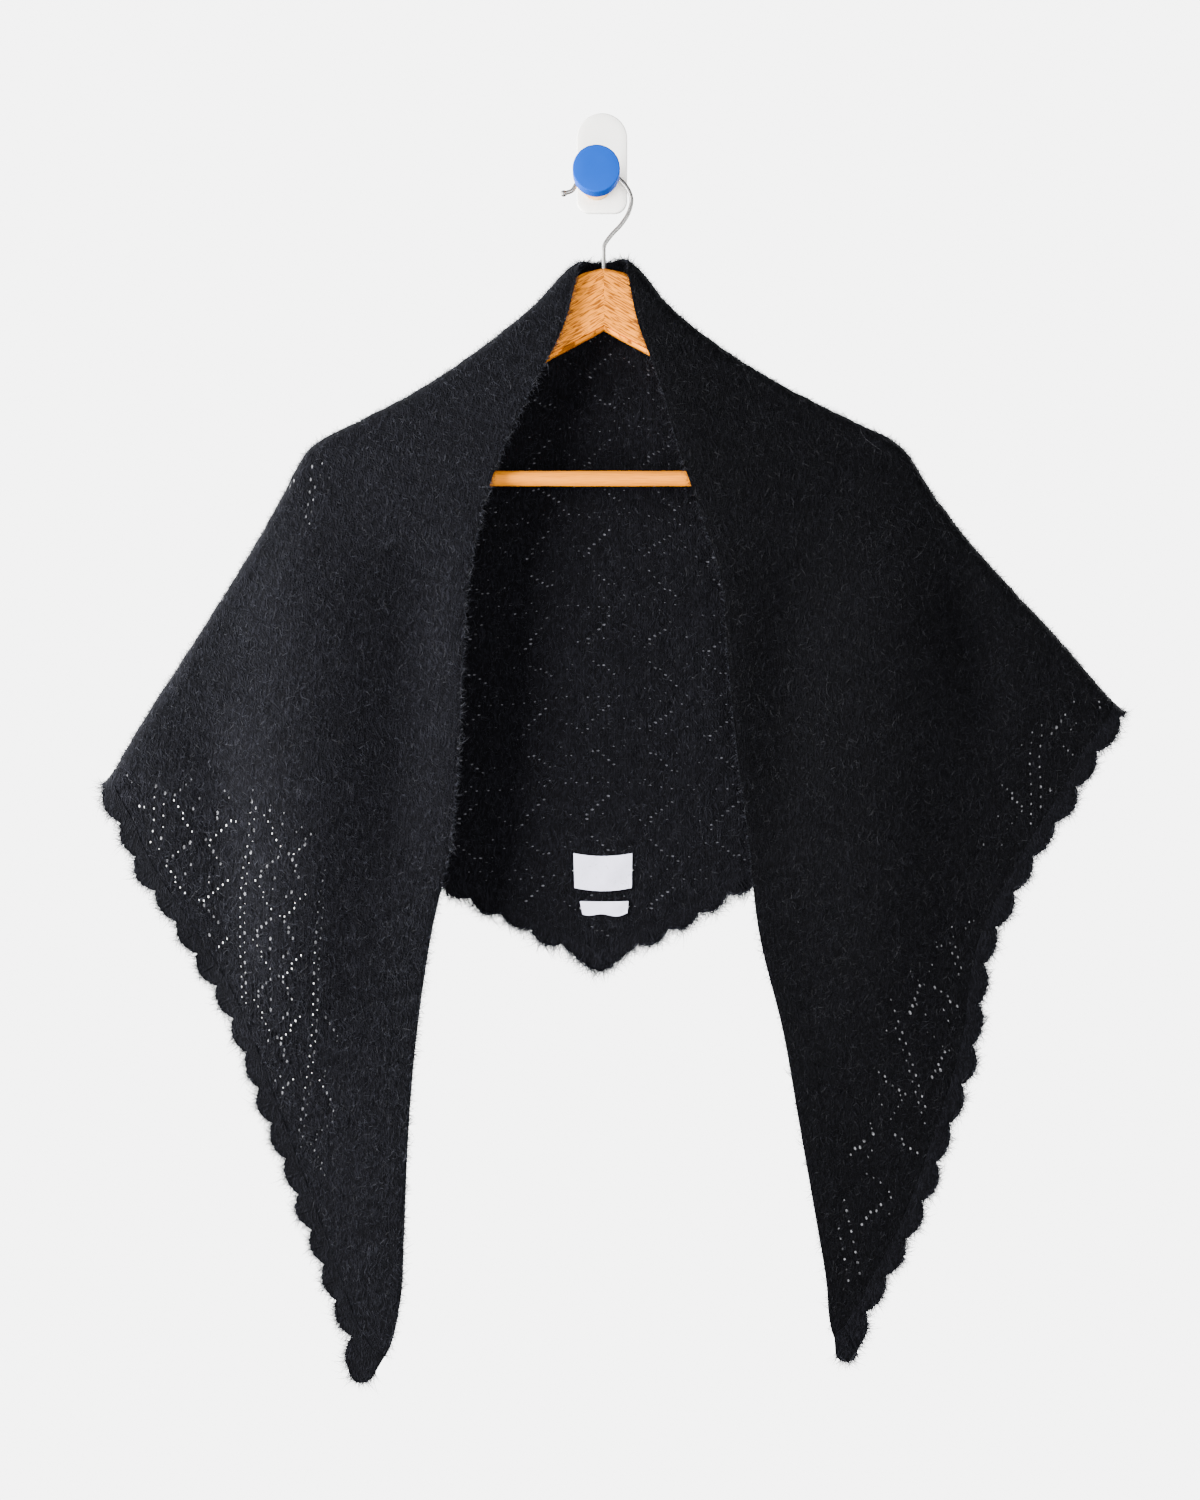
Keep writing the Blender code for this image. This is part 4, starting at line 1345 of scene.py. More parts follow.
def edging_strip(name, line, settings, finish):
    """Closed band of crochet along a line, whose fan stitches spread towards its scalloped rim."""
    edge, normal, out, along, width, phase = line
    shares = np.linspace(0, 1, STRIP_ROWS)
    base = edge - out * STRIP_TUCK
    middle = base[:, None] + out[:, None] * ((width + STRIP_TUCK)[:, None] * shares)[..., None]
    fan = (phase[:, None] - 0.5) / (0.5 + 0.5 * shares)
    ridge = settings.ridge / MM * np.cos(2 * math.pi * settings.fans * fan) * np.minimum(1, 3 * shares)
    half = settings.thickness / MM / 2 * (1 - STRIP_TAPER * shares**3) + ridge
    lift = normal[:, None] * half[..., None]
    rows = len(along)
    points = np.concatenate([(middle - lift).reshape(-1, 3), (middle + lift).reshape(-1, 3)])
    stitches = np.broadcast_to(along[:, None] / CHAIN_LONG, fan.shape)
    uv = np.stack([stitches, width[:, None] * shares / CHAIN_TALL], axis=-1).reshape(-1, 2)
    faces = closed_shell(grid_faces(rows, STRIP_ROWS), rows * STRIP_ROWS)
    obj = add_piece(name, points, faces, finish, np.concatenate([uv, uv]))
    fix_outside(obj)
    return obj


class SHAWL_OT_edging(bpy.types.Operator):
    """Crochet the scalloped edging along the hem of the back and the sides of the fronts"""

    bl_idname = "shawl.edging"
    bl_label = "Crochet the edging"

    def execute(self, context):
        settings = context.scene.shawl_edging
        finish = knit_material("black_crochet", context.scene.shawl_knit)
        lines = {"back": hem_edge()}
        lines.update({"front_" + side: front_edge(side) for side in SIDES})
        for part, line in lines.items():
            strip = edging_strip("edging_" + part, line, settings, finish)
            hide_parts(part + "_edging")
        return {"FINISHED"}


# The fuzz

# The fibres that reach the wall lie flat along it. Each narrows to a point, over this many joints
WALL_CLEAR = 0.3
FIBRE_TAPER = 0.6
FIBRE_JOINTS = 2

# How a fibre on the cloth's face lies: how steeply it lifts, how it bends aside and back to the cloth,
# how long it is beside the usual longest, and how deep its root is in the knit
LIFT_SPREAD = (1.6, 3.2)
LIFT_MOST = 1.1
BEND_ASIDE = 0.35
BEND_BACK = 0.2
LENGTH_SPREAD = (2, 2.4)
ROOT_DEEP = 0.1

# The faces of each stretch that are brushed, and how far apart their fibres are, as a share of the usual
Layer = namedtuple("Layer", "face label apart")
FRONT_LAYERS = (Layer(1, "outside", 0.8), Layer(-1, "inside", 1.9))
BACK_LAYERS = (Layer(1, "outside", 1.5), Layer(-1, "inside", 1.1))

# How much a fibre on an edge points out of the cloth, and strays along the edge and off the face
EDGE_OUT = 0.8
EDGE_ALONG = 0.9
EDGE_ASIDE = 0.45
EDGE_ROOT = 2.5
EDGE_BEND = (0.35, 0.25)
EDGE_SHORT = 0.2
EDGE_LONGER = 1.2
EDGE_SPREAD = (1.4, 3.0)

# The fibres of each edge: how dense and how long they are, as shares of the usual
Edge = namedtuple("Edge", "dense long")
NECK_FUZZ = {"left": Edge(0.7, 0.9), "right": Edge(0.3, 0.9)}
FOLD_FUZZ = Edge(1.6, 0.8)
SIDE_FUZZ = Edge(1.8, 1.1)
HEM_FUZZ = Edge(2.2, 1.4)
BACK_NECK_FUZZ = Edge(2, 0.9)
TIP_BARE = 25
FOLD_INSIDE = 0.5

# The long loose hairs, and the part of the fronts that they lie on
STRAY_LENGTHS = (9, 24)
STRAY_RUNS = (40, NECK_HALF * 0.8)
STRAY_DEPTHS = (5, 230)
STRAY_ROOM = 8
STRAY_ABOVE = 1.6
STRAY_LIFT = 0.12
STRAY_BEND = 0.75
STRAY_WIDTH = 0.13
STRAY_JOINTS = 7


def ribbons(name, roots, ways, bends, lengths, thickness, joints, finish, rng):
    """Many fine tapering fibres as one mesh: each is a ribbon that ends in a point."""
    count = len(roots)
    side = unit(np.cross(ways, unit(rng.normal(size=(count, 3))))) * thickness / 2
    points = np.empty((count, 2 * joints + 1, 3))
    for j in range(joints + 1):
        t = j / joints
        middle = roots + ways * (lengths * t)[:, None] + bends * (lengths * t**2)[:, None]
        taper = (1 - t) ** FIBRE_TAPER
        if j == joints:
            points[:, 2 * j] = middle
        else:
            points[:, 2 * j] = middle - side * taper
            points[:, 2 * j + 1] = middle + side * taper
    points[..., 1] = np.minimum(points[..., 1], -WALL_CLEAR)
    first = np.arange(count) * (2 * joints + 1)
    faces = []
    for j in range(joints - 1):
        a = first + 2 * j
        faces += np.stack([a, a + 1, a + 3, a + 2], axis=1).tolist()
    a = first + 2 * (joints - 1)
    faces += np.stack([a, a + 1, a + 2], axis=1).tolist()
    piece = add_piece(name, points.reshape(-1, 3), faces, finish)
    return piece


def scattered(low, high, spacing, rng):
    """Random flat places between two runs, one for each square of the spacing."""
    count = int((high - low) * DEPTH / spacing**2)
    run = rng.uniform(low, high, count)
    depth = rng.uniform(0, DEPTH, count)
    return run, depth


def lying(normal, rng):
    """Random directions along the cloth, square to its normals."""
    loose = rng.normal(size=normal.shape)
    return unit(loose - normal * np.sum(loose * normal, axis=1, keepdims=True))


def surface_fuzz(name, place, run, depth, face, fuzz, knit, finish, rng):
    """Fibres that lie over one face of a stretch of cloth and lift a little from it."""
    middle, normal = surface(place, run, depth)
    normal = normal * face
    count = len(run)
    flat = lying(normal, rng)
    lift = rng.beta(*LIFT_SPREAD, count) * LIFT_MOST
    ways = unit(flat + normal * lift[:, None])
    bends = np.cross(normal, flat) * rng.normal(0, BEND_ASIDE, (count, 1))
    bends = bends - normal * rng.uniform(0, BEND_BACK, (count, 1))
    lengths = fuzz.length / MM * rng.beta(*LENGTH_SPREAD, count)
    roots = middle + normal * (knit.thickness / MM / 2 - ROOT_DEEP)
    return ribbons(name, roots, ways, bends, lengths, fuzz.thickness / MM, FIBRE_JOINTS, finish, rng)


def at_places(at, along, rows):
    """Values between the rows of a line, at distances along it."""
    return np.stack([np.interp(at, along, rows[:, k]) for k in range(3)], axis=1)


def edge_fuzz(name, lines, fuzz, finish, rng):
    """Longer curved fibres that stand out from the edges.

    A line is its points, its outward ways, its normals and what its fibres are like.
    """
    roots, ways, bends, reaches = [], [], [], []
    for points, outward, normals, edge in lines:
        along = arc_length(points)
        count = int(along[-1] / (fuzz.edge_spacing / MM) * edge.dense)
        reaches.append(np.full(count, edge.long))
        at = rng.uniform(0, along[-1], count)
        base, out, face = (at_places(at, along, rows) for rows in (points, outward, normals))
        run = unit(np.cross(out, face))
        spread = rng.normal(0, 1, (count, 2))
        way = out * EDGE_OUT + run * spread[:, :1] * EDGE_ALONG + face * spread[:, 1:] * EDGE_ASIDE
        roots.append(base - out * rng.uniform(0, EDGE_ROOT, (count, 1)))
        ways.append(unit(way))
        along_bend, off_bend = (rng.normal(0, most, (count, 1)) for most in EDGE_BEND)
        bends.append(run * along_bend + face * off_bend)
    roots, ways, bends, reaches = (np.concatenate(part) for part in (roots, ways, bends, reaches))
    lengths = fuzz.length / MM * reaches * (EDGE_SHORT + EDGE_LONGER * rng.beta(*EDGE_SPREAD, len(roots)))
    wide = fuzz.edge_thickness / MM
    return ribbons(name, roots, ways, bends, lengths, wide, FIBRE_JOINTS, finish, rng)


def free_edge(place, runs):
    """Points along the neck edge, the ways out of the cloth and the normals."""
    inside = 3
    points, normals = surface(place, runs, runs * 0)
    out = unit(points - place(runs, runs * 0 + inside))
    return points, out, normals


def rim_of(line):
    """Points along the scalloped rim of a band, the ways out of the cloth and the normals."""
    edge, normal, out, _, width, _ = line
    return edge + out * width[:, None], out, normal


def fold_edge(place, runs, depths):
    """Points along the fold line, where the way out is the cloth's own outer normal."""
    points, normals = surface(place, runs, depths)
    return points, normals, unit(np.cross(np.gradient(points, axis=0), normals))


def fuzz_lines():
    """All the edges that show against the background."""
    lines = []
    for side in SIDES:
        place, sign = place_front(side), SIGN[side]
        neck = np.linspace(NECK_START, NECK_HALF - TIP_BARE, 300)
        lines.append((*free_edge(place, sign * neck), NECK_FUZZ[side]))
        fold = np.linspace(NECK_START, panel_corner(side), 200)
        depths = fold_depth(side, fold) - FOLD_INSIDE
        lines.append((*fold_edge(place, sign * fold, depths), FOLD_FUZZ))
        lines.append((*rim_of(front_edge(side)), SIDE_FUZZ))
    lines.append((*rim_of(hem_edge()), HEM_FUZZ))
    lines.append((*free_edge(place_back, np.linspace(-NECK_TURN[1], NECK_TURN[1], 30)), BACK_NECK_FUZZ))
    return lines


def stray_hairs(fuzz, finish, rng):
    """A few long pale hairs that curl over the fronts."""
    roots, ways, bends = [], [], []
    for side in SIDES:
        count = fuzz.strays // 2
        run = rng.uniform(*STRAY_RUNS, count * 3)
        depth = rng.uniform(*STRAY_DEPTHS, count * 3)
        keep = np.flatnonzero(depth < outer_depth(side, run) - STRAY_ROOM)[:count]
        middle, normal = surface(place_front(side), SIGN[side] * run[keep], depth[keep])
        flat = lying(normal, rng)
        roots.append(middle + normal * STRAY_ABOVE)
        ways.append(unit(flat + normal * STRAY_LIFT))
        bends.append(np.cross(normal, flat) * rng.normal(0, STRAY_BEND, (len(keep), 1)))
    roots, ways, bends = (np.concatenate(part) for part in (roots, ways, bends))
    lengths = rng.uniform(*STRAY_LENGTHS, len(roots))
    return ribbons("stray_hairs", roots, ways, bends, lengths, STRAY_WIDTH, STRAY_JOINTS, finish, rng)


class SHAWL_OT_fuzz(bpy.types.Operator):
    bl_idname = "shawl.fuzz"
    bl_label = "Brush up the fuzz"

    def execute(self, context):
        fuzz = context.scene.shawl_fuzz
        rng = np.random.default_rng(fuzz.seed)
        finish = fuzz_material("fuzz", fuzz.fibre)
        # Each front's fuzz is a lighter or darker copy of the fibre: painted light on the left, painted
        # shade on the right
        fronts = {
            side: fuzz_material("fuzz_" + side, [share * FRONT_PAINTED_LIGHT_AND_SHADE[side] for share in fuzz.fibre])
            for side in SIDES
        }
        made = {side: self.brush(context, "front_" + side, fronts[side], rng, side) for side in SIDES}
        made["back"] = self.brush(context, "back", finish, rng)
        edges = edge_fuzz("fuzz_edges", fuzz_lines(), fuzz, finish, rng)
        strays = stray_hairs(fuzz, fuzz_material("stray_hair", fuzz.stray), rng)
        self.declare(made, edges, strays)
        return {"FINISHED"}

    def brush(self, context, part, finish, rng, side=None):
        """Brush both faces of a stretch of the cloth: the front at a side, or else the back."""
        fuzz, knit = context.scene.shawl_fuzz, context.scene.shawl_knit
        if side:
            place, layers = place_front(side), FRONT_LAYERS
            low, high = sorted((SIGN[side] * NECK_START, SIGN[side] * TIP_RUN))
        else:
            place, layers = place_back, BACK_LAYERS
            low, high = -panel_corner("left"), panel_corner("right")
        made = []
        for face, label, apart in layers:
            run, depth = scattered(low, high, fuzz.spacing / MM * apart, rng)
            near, far = (0, outer_depth(side, np.abs(run))) if side else (back_top(run), band_depth(run))
            keep = (depth > near) & (depth < far)
            name = "fuzz_" + part + "_" + label
            made.append(surface_fuzz(name, place, run[keep], depth[keep], face, fuzz, knit, finish, rng))
        return made

    def declare(self, made, edges, strays):
        """Takes the pieces of fuzz and does nothing with them."""


# The labels

LABEL_COLUMNS = 29
LABEL_ROWS = 15
LABEL_CLEAR = 1.6
LABEL_LIFT = 0.5
LABEL_RIPPLE = 0.25
LEAN_RIGHT = 0.4
WAVE_COUNT = 1.4
WAVE_START = 0.15
TACK_HALF = 1.1
TACK_RADIUS = 0.22


def back_face(x, drop):
    """Forward of the back's middle at places near the centre."""
    runs = np.linspace(-60, 60, 61)
    depths = np.linspace(380, DEPTH - TRIM, 90)
    run, depth = (part.ravel() for part in np.meshgrid(runs, depths))
    keep = depth < band_depth(run)
    points = place_back(run[keep], depth[keep])
    away = (points[:, 0] - x.ravel()[:, None]) ** 2 + (points[:, 2] + drop.ravel()[:, None]) ** 2
    return -points[np.argmin(away, axis=1), 1].reshape(x.shape)


def label_grid(label):
    """Forward places of a label that is caught down at its sides and stands off a little between."""
    u, v = np.meshgrid(np.linspace(0, 1, LABEL_COLUMNS), np.linspace(0, 1, LABEL_ROWS), indexing="ij")
    bow = 1 - (2 * u - 1) ** 2
    wave = label.waves * np.sin(2 * math.pi * (u * WAVE_COUNT + WAVE_START)) * v
    left = label.left + label.lean * (v - 0.5)
    right = label.right - label.lean * (v - 0.5) * LEAN_RIGHT
    x = left + (right - left) * u
    top = label.top + label.sag * bow
    bottom = label.bottom + label.bulge * bow
    drop = top + (bottom - top) * v + wave
    forward = back_face(x, drop) + LABEL_CLEAR
    forward += LABEL_LIFT * bow * np.sin(math.pi * v) + LABEL_RIPPLE * np.sin(9 * u + 4 * v)
    return np.stack([x, -forward, -drop], axis=-1)


def add_label(label, tape, finish, thread):
    """Blank label of woven tape, with a small thread tack at the middle of each side."""
    grid = label_grid(label)
    half = np.array([0, tape.thickness / MM / 2, 0])
    points = np.concatenate([(grid + half).reshape(-1, 3), (grid - half).reshape(-1, 3)])
    faces = closed_shell(grid_faces(LABEL_COLUMNS, LABEL_ROWS), LABEL_COLUMNS * LABEL_ROWS)
    uv = np.stack([grid[..., 0], grid[..., 2]], axis=-1).reshape(-1, 2)
    obj = add_piece(label.name + "_tape", points, faces, finish, np.concatenate([uv, uv]))
    fix_outside(obj)
    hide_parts(label.node)
    ends = (grid[0, LABEL_ROWS // 2], grid[-1, LABEL_ROWS // 2])
    tacks = [add_tack(obj.name, number, at, thread) for number, at in enumerate(ends, 1)]
    width, tall = (label.right - label.left) * MM, (label.bottom - label.top + label.bulge / 2) * MM
    max(tall, 0.01)


def add_tack(name, number, at, finish):
    """Short stitch of thread across the edge of a label."""
    steps = np.linspace(-1, 1, 9)
    centre = at + np.column_stack([steps * TACK_HALF, -0.35 - 0.4 * (1 - steps**2), steps * 0.25])
    radii = TACK_RADIUS * np.sqrt(1.02 - steps**2)
    rings = [circle(c, r, (0, 1, 0), (0, 0, 1), 8) for c, r in zip(centre, radii)]
    tack = add_rings(name + "_tack_" + str(number), rings, finish)
    return tack


class SHAWL_OT_labels(bpy.types.Operator):
    """Sew the two blank labels on the inside of the back"""

    bl_idname = "shawl.labels"
    bl_label = "Sew on the labels"

    def execute(self, context):
        tape = context.scene.shawl_labels
        finish = tape_material("label_tape", tape.tape)
        thread = tape_material("label_thread", (0.7, 0.7, 0.72))
        for label in LABELS:
            add_label(label, tape, finish, thread)
        return {"FINISHED"}


# The hanger

def arm_bow(reach):
    """How far forward of the middle an arm curves at this reach."""
    return ARM_BOW * (reach / ARM_REACH) ** BOW_POWER


def arm_section(reach, sign):
    """Outline of an arm's section: round along its top, with a groove and a chamfer along its foot."""
    top, bottom = (float(curve(ARM, name, "reach", np.array([reach]))[0]) for name in ("top", "bottom"))
    half = ARM_THICK / 2
    rounding = min(ARM_ROUND, (bottom - top) / 3)
    chamfer = min(ARM_CHAMFER, (bottom - top) / 4)
    turns = np.radians(np.linspace(0, 90, 7))
    side, upper, groove = half - rounding, top + rounding, bottom - chamfer
    outline = [(side + rounding * math.sin(t), upper - rounding * math.cos(t)) for t in turns]
    outline += [(half, (top + bottom) / 2), (half, groove - GROOVE_ABOVE), (half - GROOVE_DEEP, groove)]
    outline += [(half - 0.3, groove + GROOVE_BELOW), (half - chamfer, bottom), (0, bottom)]
    outline += [(-out, drop) for out, drop in outline[-2::-1]]
    x = HANGER_X + sign * max(reach, MITRE)
    middle = HANGER_FORWARD + arm_bow(reach)
    return [(x, -(middle + out), -drop) for out, drop in outline]


def grain_uv(points, start):
    """Places along and across the straight grain, which follows the slope of an arm."""
    reach = np.abs(points[:, 0] - HANGER_X)
    drop = -points[:, 2]
    along = reach * math.cos(GRAIN_SLOPE) + drop * math.sin(GRAIN_SLOPE)
    across = drop * math.cos(GRAIN_SLOPE) - reach * math.sin(GRAIN_SLOPE) - points[:, 1] * GRAIN_THROUGH
    return np.column_stack([start + along, across])


def add_arm(side, finish):
    """One arm of the hanger, from the mitre at the middle to its tip."""
    sign = SIGN[side]
    reaches = np.concatenate([np.linspace(0, ARM_END, 60), np.linspace(ARM_END + 2, ARM_REACH, 12)])
    rings = np.array([arm_section(r, sign) for r in reaches])
    grain = grain_uv(rings.reshape(-1, 3), GRAIN_START[side])
    arm = add_rings("hanger_arm_" + side + "_wood", rings, finish, 40, grain)
    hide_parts("hanger_arm_" + side)


def add_bar(finish):
    """The trouser bar, turned a little uneven, with its ends in the arms."""
    forward = HANGER_FORWARD + arm_bow(BAR_REACH)
    rings = []
    for x in np.linspace(-BAR_REACH, BAR_REACH, 73):
        radius = BAR_RADIUS + BAR_UNEVEN * math.sin(x / 9) * math.sin(x / 23)
        centre = np.array([HANGER_X + x, -forward, -BAR_DROP])
        rings.append(circle(centre, radius, (0, 1, 0), (0, 0, 1), 28))
    bar = add_rings("hanger_bar_wood", rings, finish)
    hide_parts("hanger_bar")


def smooth_route(points, step):
    """Points a step apart on a smooth curve through the given ones."""
    points = np.array(points, float)
    knots = arc_length(points)
    slopes = np.gradient(points, knots, axis=0)
    places = np.linspace(0, knots[-1], int(round(knots[-1] / step)) + 1)
    k = np.clip(np.searchsorted(knots, places, side="right") - 1, 0, len(knots) - 2)
    width = (knots[k + 1] - knots[k])[:, None]
    t = (places - knots[k])[:, None] / width
    return smooth_between(t, width, points[k], slopes[k], points[k + 1], slopes[k + 1])


# The wire: the step between its rings, and its round end, as shares of the wire's and the end's radius
WIRE_STEP = 1.2
WIRE_SIDES = 18
BALL = 1.5
BALL_SEAT = 0.9
BALL_TURNS = np.radians(np.linspace(42, 175, 11))


def add_hook(wire_radius, finish):
    """Wire hook from the arms' top, over the knob's stem, to its round end."""
    route = smooth_route([(point.x, point.drop) for point in WIRE], WIRE_STEP)
    centre = np.column_stack([route[:, 0], np.full(len(route), -HANGER_FORWARD), -route[:, 1]])
    along = unit(np.gradient(centre, axis=0))
    radii = np.full(len(centre), wire_radius)
    ball = BALL * wire_radius
    end = centre[-1] + along[-1] * (ball * (BALL_SEAT - np.cos(BALL_TURNS)))[:, None]
    centre = np.concatenate([centre, end])
    along = np.concatenate([along, np.repeat(along[-1:], len(BALL_TURNS), axis=0)])
    radii = np.concatenate([radii, ball * np.sin(BALL_TURNS)])
    back = (0, 1, 0)
    rings = [circle(c, r, np.cross(a, back), back, WIRE_SIDES) for c, a, r in zip(centre, along, radii)]
    hook = add_rings("hanger_hook_wire", rings, finish, 60)
    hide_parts("hanger_hook")


class SHAWL_OT_hanger(bpy.types.Operator):
    """Build the hanger: two wooden arms, a trouser bar and a wire hook"""

    bl_idname = "shawl.hanger"
    bl_label = "Build the hanger"

    def execute(self, context):
        hanger = context.scene.shawl_hanger
        wood = wood_material("hanger_wood", hanger.wood, hanger.pore, 0.8, 0.5)
        for side in SIDES:
            add_arm(side, wood)
        add_bar(wood_material("bar_wood", hanger.bar, hanger.wood, 0.35, 0.5))
        add_hook(hanger.wire_radius / MM, steel_material("hook_steel", hanger.steel))
        return {"FINISHED"}


# The wall hook

def plate_outline(inset):
    """Outline of the wall plate, drawn in by an inset: a round top and two small round corners below."""
    half, low = PLATE_WIDTH / 2, -PLATE_HEIGHT / 2
    top = PLATE_HEIGHT / 2 - half
    corner = PLATE_CORNER
    arcs = [
        (0, top, half, 0, 180, 40),
        (corner - half, low + corner, corner, 180, 270, 10),
        (half - corner, low + corner, corner, 270, 360, 10),
    ]
    outline = []
    for x, z, radius, first, last, steps in arcs:
        for angle in np.radians(np.linspace(first, last, steps + 1)):
            reach = radius - inset
            outline.append((x + reach * math.cos(angle), z + reach * math.sin(angle) + PLATE_RAISED))
    return outline


def add_plate(finish):
    """Wall plate with a small bevel at the wall and a softly rounded front edge."""
    rounds = ((1.0, 0), (0.5, 0.15), (0.15, 0.45), (0, 1.0), (0, 6.0))
    profile = [(0, 0.3), (0.3, 0), *[(PLATE_THICK - under, inset) for under, inset in rounds]]
    rings = [[(x, -out, z) for x, z in plate_outline(inset)] for out, inset in profile]
    plate = add_rings("wall_plate_front", rings, finish, 35)
    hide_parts("wall_plate")


def add_turned(name, node, profile, start, finish):
    """Turned piece on the knob's axis. The profile is the distance from the start and the radius."""
    centre = np.array([KNOB_X, -start, -STEM_DROP])
    rings = [circle(centre - (0, out, 0), radius, (1, 0, 0), (0, 0, 1), 72) for out, radius in profile]
    piece = add_rings(name, rings, finish, 35)
    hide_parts(node)


def rounded_profile(long, radius, rounding):
    """Profile of a disc with both its rims rounded."""
    turns = np.radians(np.linspace(0, 90, 7))
    rise = [(rounding * (1 - math.cos(t)), radius - rounding + rounding * math.sin(t)) for t in turns]
    fall = [(long - out, reach) for out, reach in rise[::-1]]
    return [(0, radius * 0.5), *rise, *fall, (long, radius * 0.5)]


class SHAWL_OT_wall_hook(bpy.types.Operator):
    """Build the wall hook: its plate, stem and round knob"""

    bl_idname = "shawl.wall_hook"
    bl_label = "Build the wall hook"

    def execute(self, context):
        hook = context.scene.shawl_wall_hook
        add_plate(painted_material("plate_white", hook.plate, 0.5, 900.0))
        start = PLATE_THICK + JOIN_GAP
        stem = wood_material("stem_wood", hook.stem, context.scene.shawl_hanger.wood, 0.5, 0.55)
        profile = rounded_profile(STEM_LENGTH, STEM_RADIUS, 0.5)
        above = COLLAR_LENGTH + COLLAR_SLOPE
        collar = [(0, COLLAR_RADIUS), (COLLAR_LENGTH, COLLAR_RADIUS), (above, STEM_RADIUS)]
        profile = profile[:1] + collar + [row for row in profile if row[0] > above]
        add_turned("knob_stem_wood", "knob_stem", profile, start, stem)
        blue = painted_material("knob_blue", hook.knob, 0.6, 1400.0)
        start += STEM_LENGTH + JOIN_GAP
        profile = rounded_profile(DISC_THICK, DISC_RADIUS, 0.9)
        add_turned("knob_disc_blue", "knob_disc", profile, start, blue)
        return {"FINISHED"}


# The stage

def add_stage_piece(name, reaches, heights, sides, finish):
    """Round piece of the stage, through level rings with these reaches and heights in metres."""
    right, back = (1, 0, 0), (0, 1, 0)
    rings = [circle((0, 0, z), reach, right, back, sides) for reach, z in zip(reaches, heights)]
    mesh = bpy.data.meshes.new(name)
    mesh.from_pydata(np.concatenate(rings).tolist(), [], ring_faces(len(rings), sides))
    mesh.materials.append(finish)
    obj = bpy.data.objects.new(name, mesh)
    obj.visible_diffuse = False
    obj.visible_glossy = False
    bpy.context.scene.collection.objects.link(obj)
    return obj


def add_floor(stage):
    """Round pale floor below the wall hook, lit of itself and by the lights."""
    made, tree, shader = new_material("floor_pale", roughness=0.9)
    spot = object_places(tree)
    clouds = noise(tree, spot, 3.0, 4.0)
    shade = blend_colours(tree, clouds, opaque(stage.pale, 0.98), opaque(stage.pale))
    finish_with(tree, shader, shade, clouds, 0.05, 0.001)
    shader.inputs["Emission Color"].default_value = opaque(stage.pale)
    shader.inputs["Emission Strength"].default_value = stage.floor_glow
    reaches = [share * stage.floor_radius for share in (0.002, 0.5, 1, 1)]
    heights = [rise - stage.floor_drop for rise in (0, 0, 0, -0.02)]
    add_stage_piece("floor", reaches, heights, 96, made)


def add_backdrop(stage):
    """Round lit backdrop, far behind the cameras too. Only they see it, so that it casts no light."""
    made = bpy.data.materials.new("backdrop_pale")
    made.use_nodes = True
    tree = made.node_tree
    tree.nodes.clear()
    glow = add_node(tree, "ShaderNodeEmission", {"Color": opaque(stage.pale), "Strength": stage.glow})
    add_node(tree, "ShaderNodeOutputMaterial", {"Surface": glow.outputs[0]})
    turns = np.linspace(0.02, math.pi - 0.02, 33)
    radius = stage.backdrop_radius
    backdrop = add_stage_piece("backdrop", radius * np.sin(turns), radius * np.cos(turns), 64, made)
    backdrop.visible_transmission = False
    backdrop.visible_volume_scatter = False
    backdrop.visible_shadow = False


def add_light(light, watts):
    """Soft light that shines from its place towards another."""
    lamp = bpy.data.lights.new(light.name, "AREA")
    lamp.shape = "RECTANGLE"
    lamp.size = light.width
    lamp.size_y = light.height
    lamp.energy = watts
    obj = bpy.data.objects.new(light.name, lamp)
    obj.location = light.at
    way = np.array(light.towards, float) - np.array(light.at, float)
    obj.rotation_euler = (
        math.atan2(math.hypot(way[0], way[1]), -way[2]),
        0,
        math.atan2(way[1], way[0]) - math.pi / 2,
    )
    obj.visible_camera = False
    bpy.context.scene.collection.objects.link(obj)


def add_camera():
    """Camera at the photograph's place, level and square to the wall."""
    data = bpy.data.cameras.new("camera")
    data.sensor_fit = "VERTICAL"
    data.sensor_height = CAMERA_SENSOR
    data.lens = CAMERA_LENS
    obj = bpy.data.objects.new("camera", data)
    obj.location = (CAMERA_X * MM, -CAMERA_FORWARD * MM, -CAMERA_DROP * MM)
    obj.rotation_euler = (math.pi / 2, 0, 0)
    bpy.context.scene.collection.objects.link(obj)
    bpy.context.scene.camera = obj


def add_surround(stage):
    """Even pale light from all round the cloth."""
    world = bpy.data.worlds.new("pale_surround")
    world.use_nodes = True
    behind = world.node_tree.nodes["Background"]
    behind.inputs["Color"].default_value = opaque(stage.pale)
    behind.inputs["Strength"].default_value = stage.surround
    bpy.context.scene.world = world


# The lights in metres. Each takes its power from the stage's setting of that name
Light = namedtuple("Light", "name power at towards width height")
LIGHTS = [
    Light("key", "key", (-1.1, -0.42, -0.38), (-0.1, 0, -0.46), 0.5, 1.2),
    Light("side", "side", (1.15, -0.35, -0.55), (0.2, 0, -0.5), 0.4, 1.2),
    Light("fill", "fill", (0.3, -2.3, -0.7), (0, 0, -0.4), 1.6, 1.6),
    Light("rim_left", "rim", (-1.2, 1.3, 0.1), (0, 0, -0.4), 0.9, 0.9),
    Light("rim_right", "rim", (1.3, 1.2, 0.2), (0, 0, -0.4), 0.9, 0.9),
]


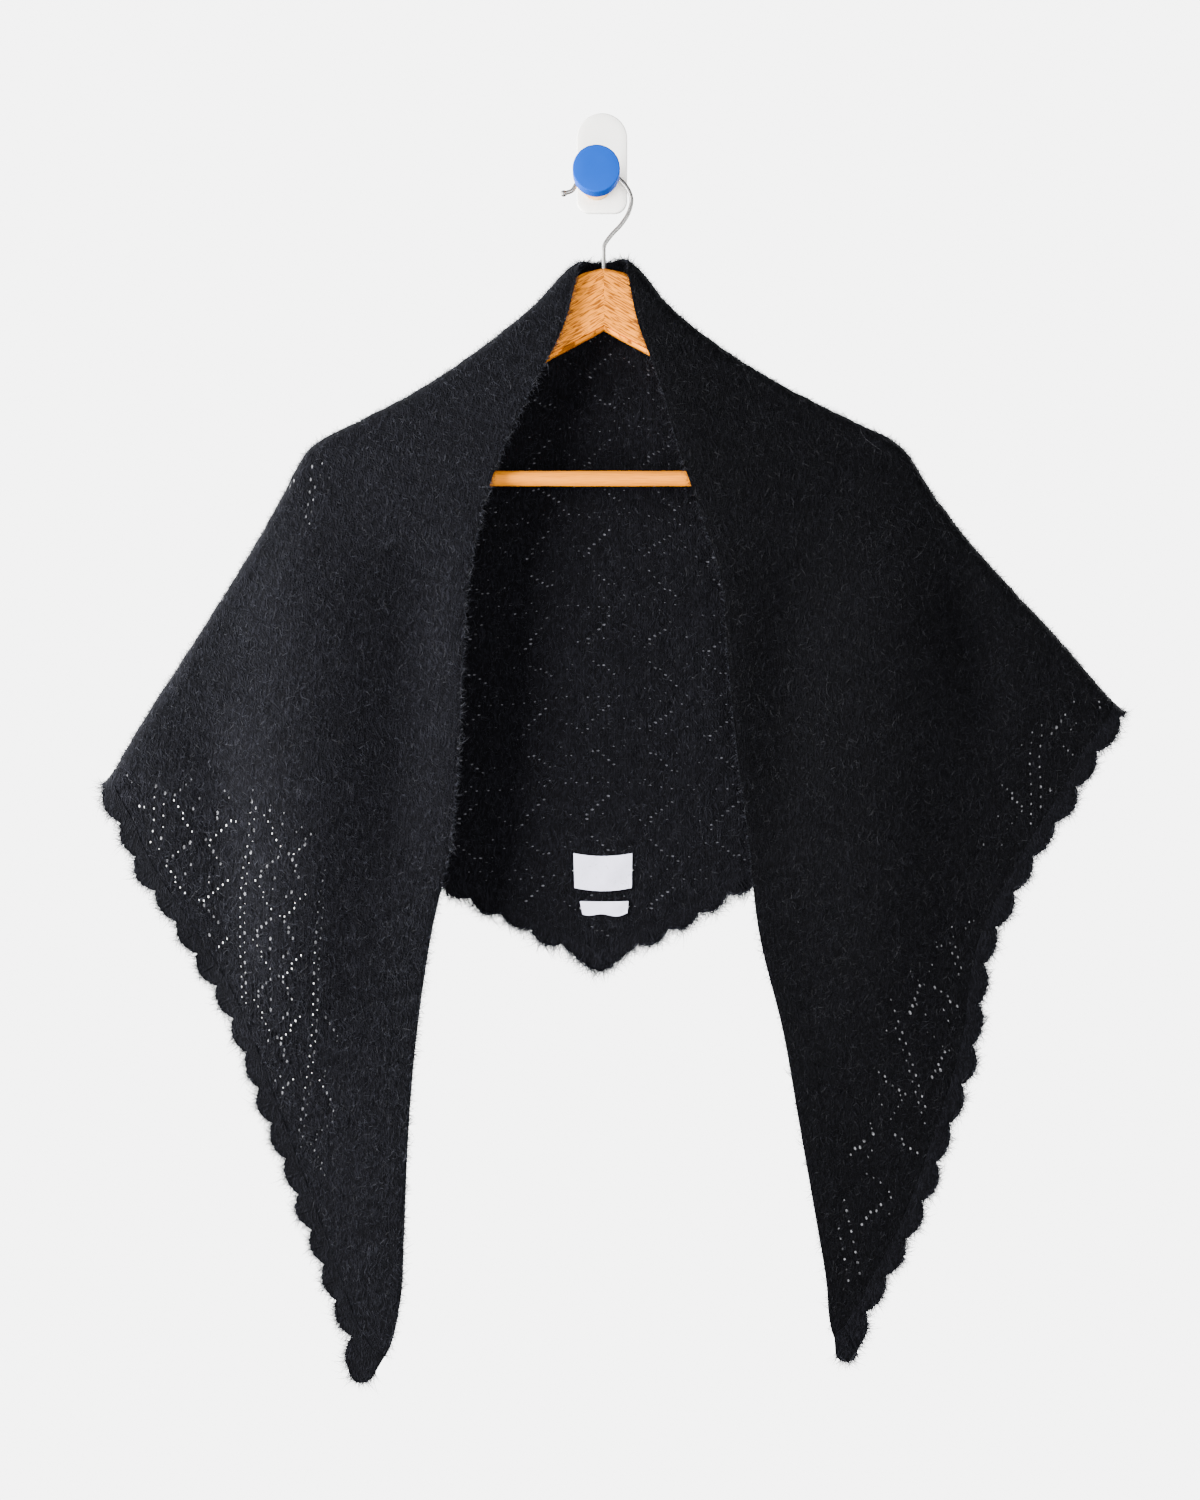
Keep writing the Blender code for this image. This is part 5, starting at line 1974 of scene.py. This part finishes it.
class SHAWL_OT_stage(bpy.types.Operator):
    """Set the floor, the soft studio light and the camera"""

    bl_idname = "shawl.stage"
    bl_label = "Set the stage"

    def execute(self, context):
        stage = context.scene.shawl_stage
        add_floor(stage)
        add_backdrop(stage)
        add_surround(stage)
        for light in LIGHTS:
            add_light(light, getattr(stage, light.power))
        add_camera()
        return {"FINISHED"}


# The sidebar

SETTINGS = {
    "shawl_knit": KnitSettings,
    "shawl_edging": EdgingSettings,
    "shawl_fuzz": FuzzSettings,
    "shawl_labels": LabelSettings,
    "shawl_hanger": HangerSettings,
    "shawl_wall_hook": WallHookSettings,
    "shawl_stage": StageSettings,
}
OPERATORS = [
    SHAWL_OT_knit,
    SHAWL_OT_edging,
    SHAWL_OT_hanger,
    SHAWL_OT_fuzz,
    SHAWL_OT_labels,
    SHAWL_OT_wall_hook,
    SHAWL_OT_stage,
]


class SHAWL_PT_sidebar(bpy.types.Panel):
    """The shawl's settings, and a button for each group of pieces"""

    bl_idname = "SHAWL_PT_sidebar"
    bl_label = "Shawl"
    bl_space_type = "VIEW_3D"
    bl_region_type = "UI"
    bl_category = "Shawl"

    def draw(self, context):
        for name, settings in SETTINGS.items():
            box = self.layout.box()
            box.label(text=settings.__doc__)
            for prop in settings.__annotations__:
                box.prop(getattr(context.scene, name), prop)
        for operator in OPERATORS:
            self.layout.operator(operator.bl_idname)


def register():
    for settings in SETTINGS.values():
        bpy.utils.register_class(settings)
    for name, settings in SETTINGS.items():
        setattr(bpy.types.Scene, name, bpy.props.PointerProperty(type=settings))
    for operator in OPERATORS:
        bpy.utils.register_class(operator)
    bpy.utils.register_class(SHAWL_PT_sidebar)


def unregister():
    bpy.utils.unregister_class(SHAWL_PT_sidebar)
    for operator in reversed(OPERATORS):
        bpy.utils.unregister_class(operator)
    for name, settings in SETTINGS.items():
        delattr(bpy.types.Scene, name)
        bpy.utils.unregister_class(settings)


def main():
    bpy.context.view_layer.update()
    register()
    bpy.ops.shawl.knit()
    bpy.ops.shawl.edging()
    bpy.ops.shawl.hanger()
    bpy.ops.shawl.fuzz()
    bpy.ops.shawl.labels()
    bpy.ops.shawl.wall_hook()
    bpy.ops.shawl.stage()


if __name__ == "__main__":
    main()
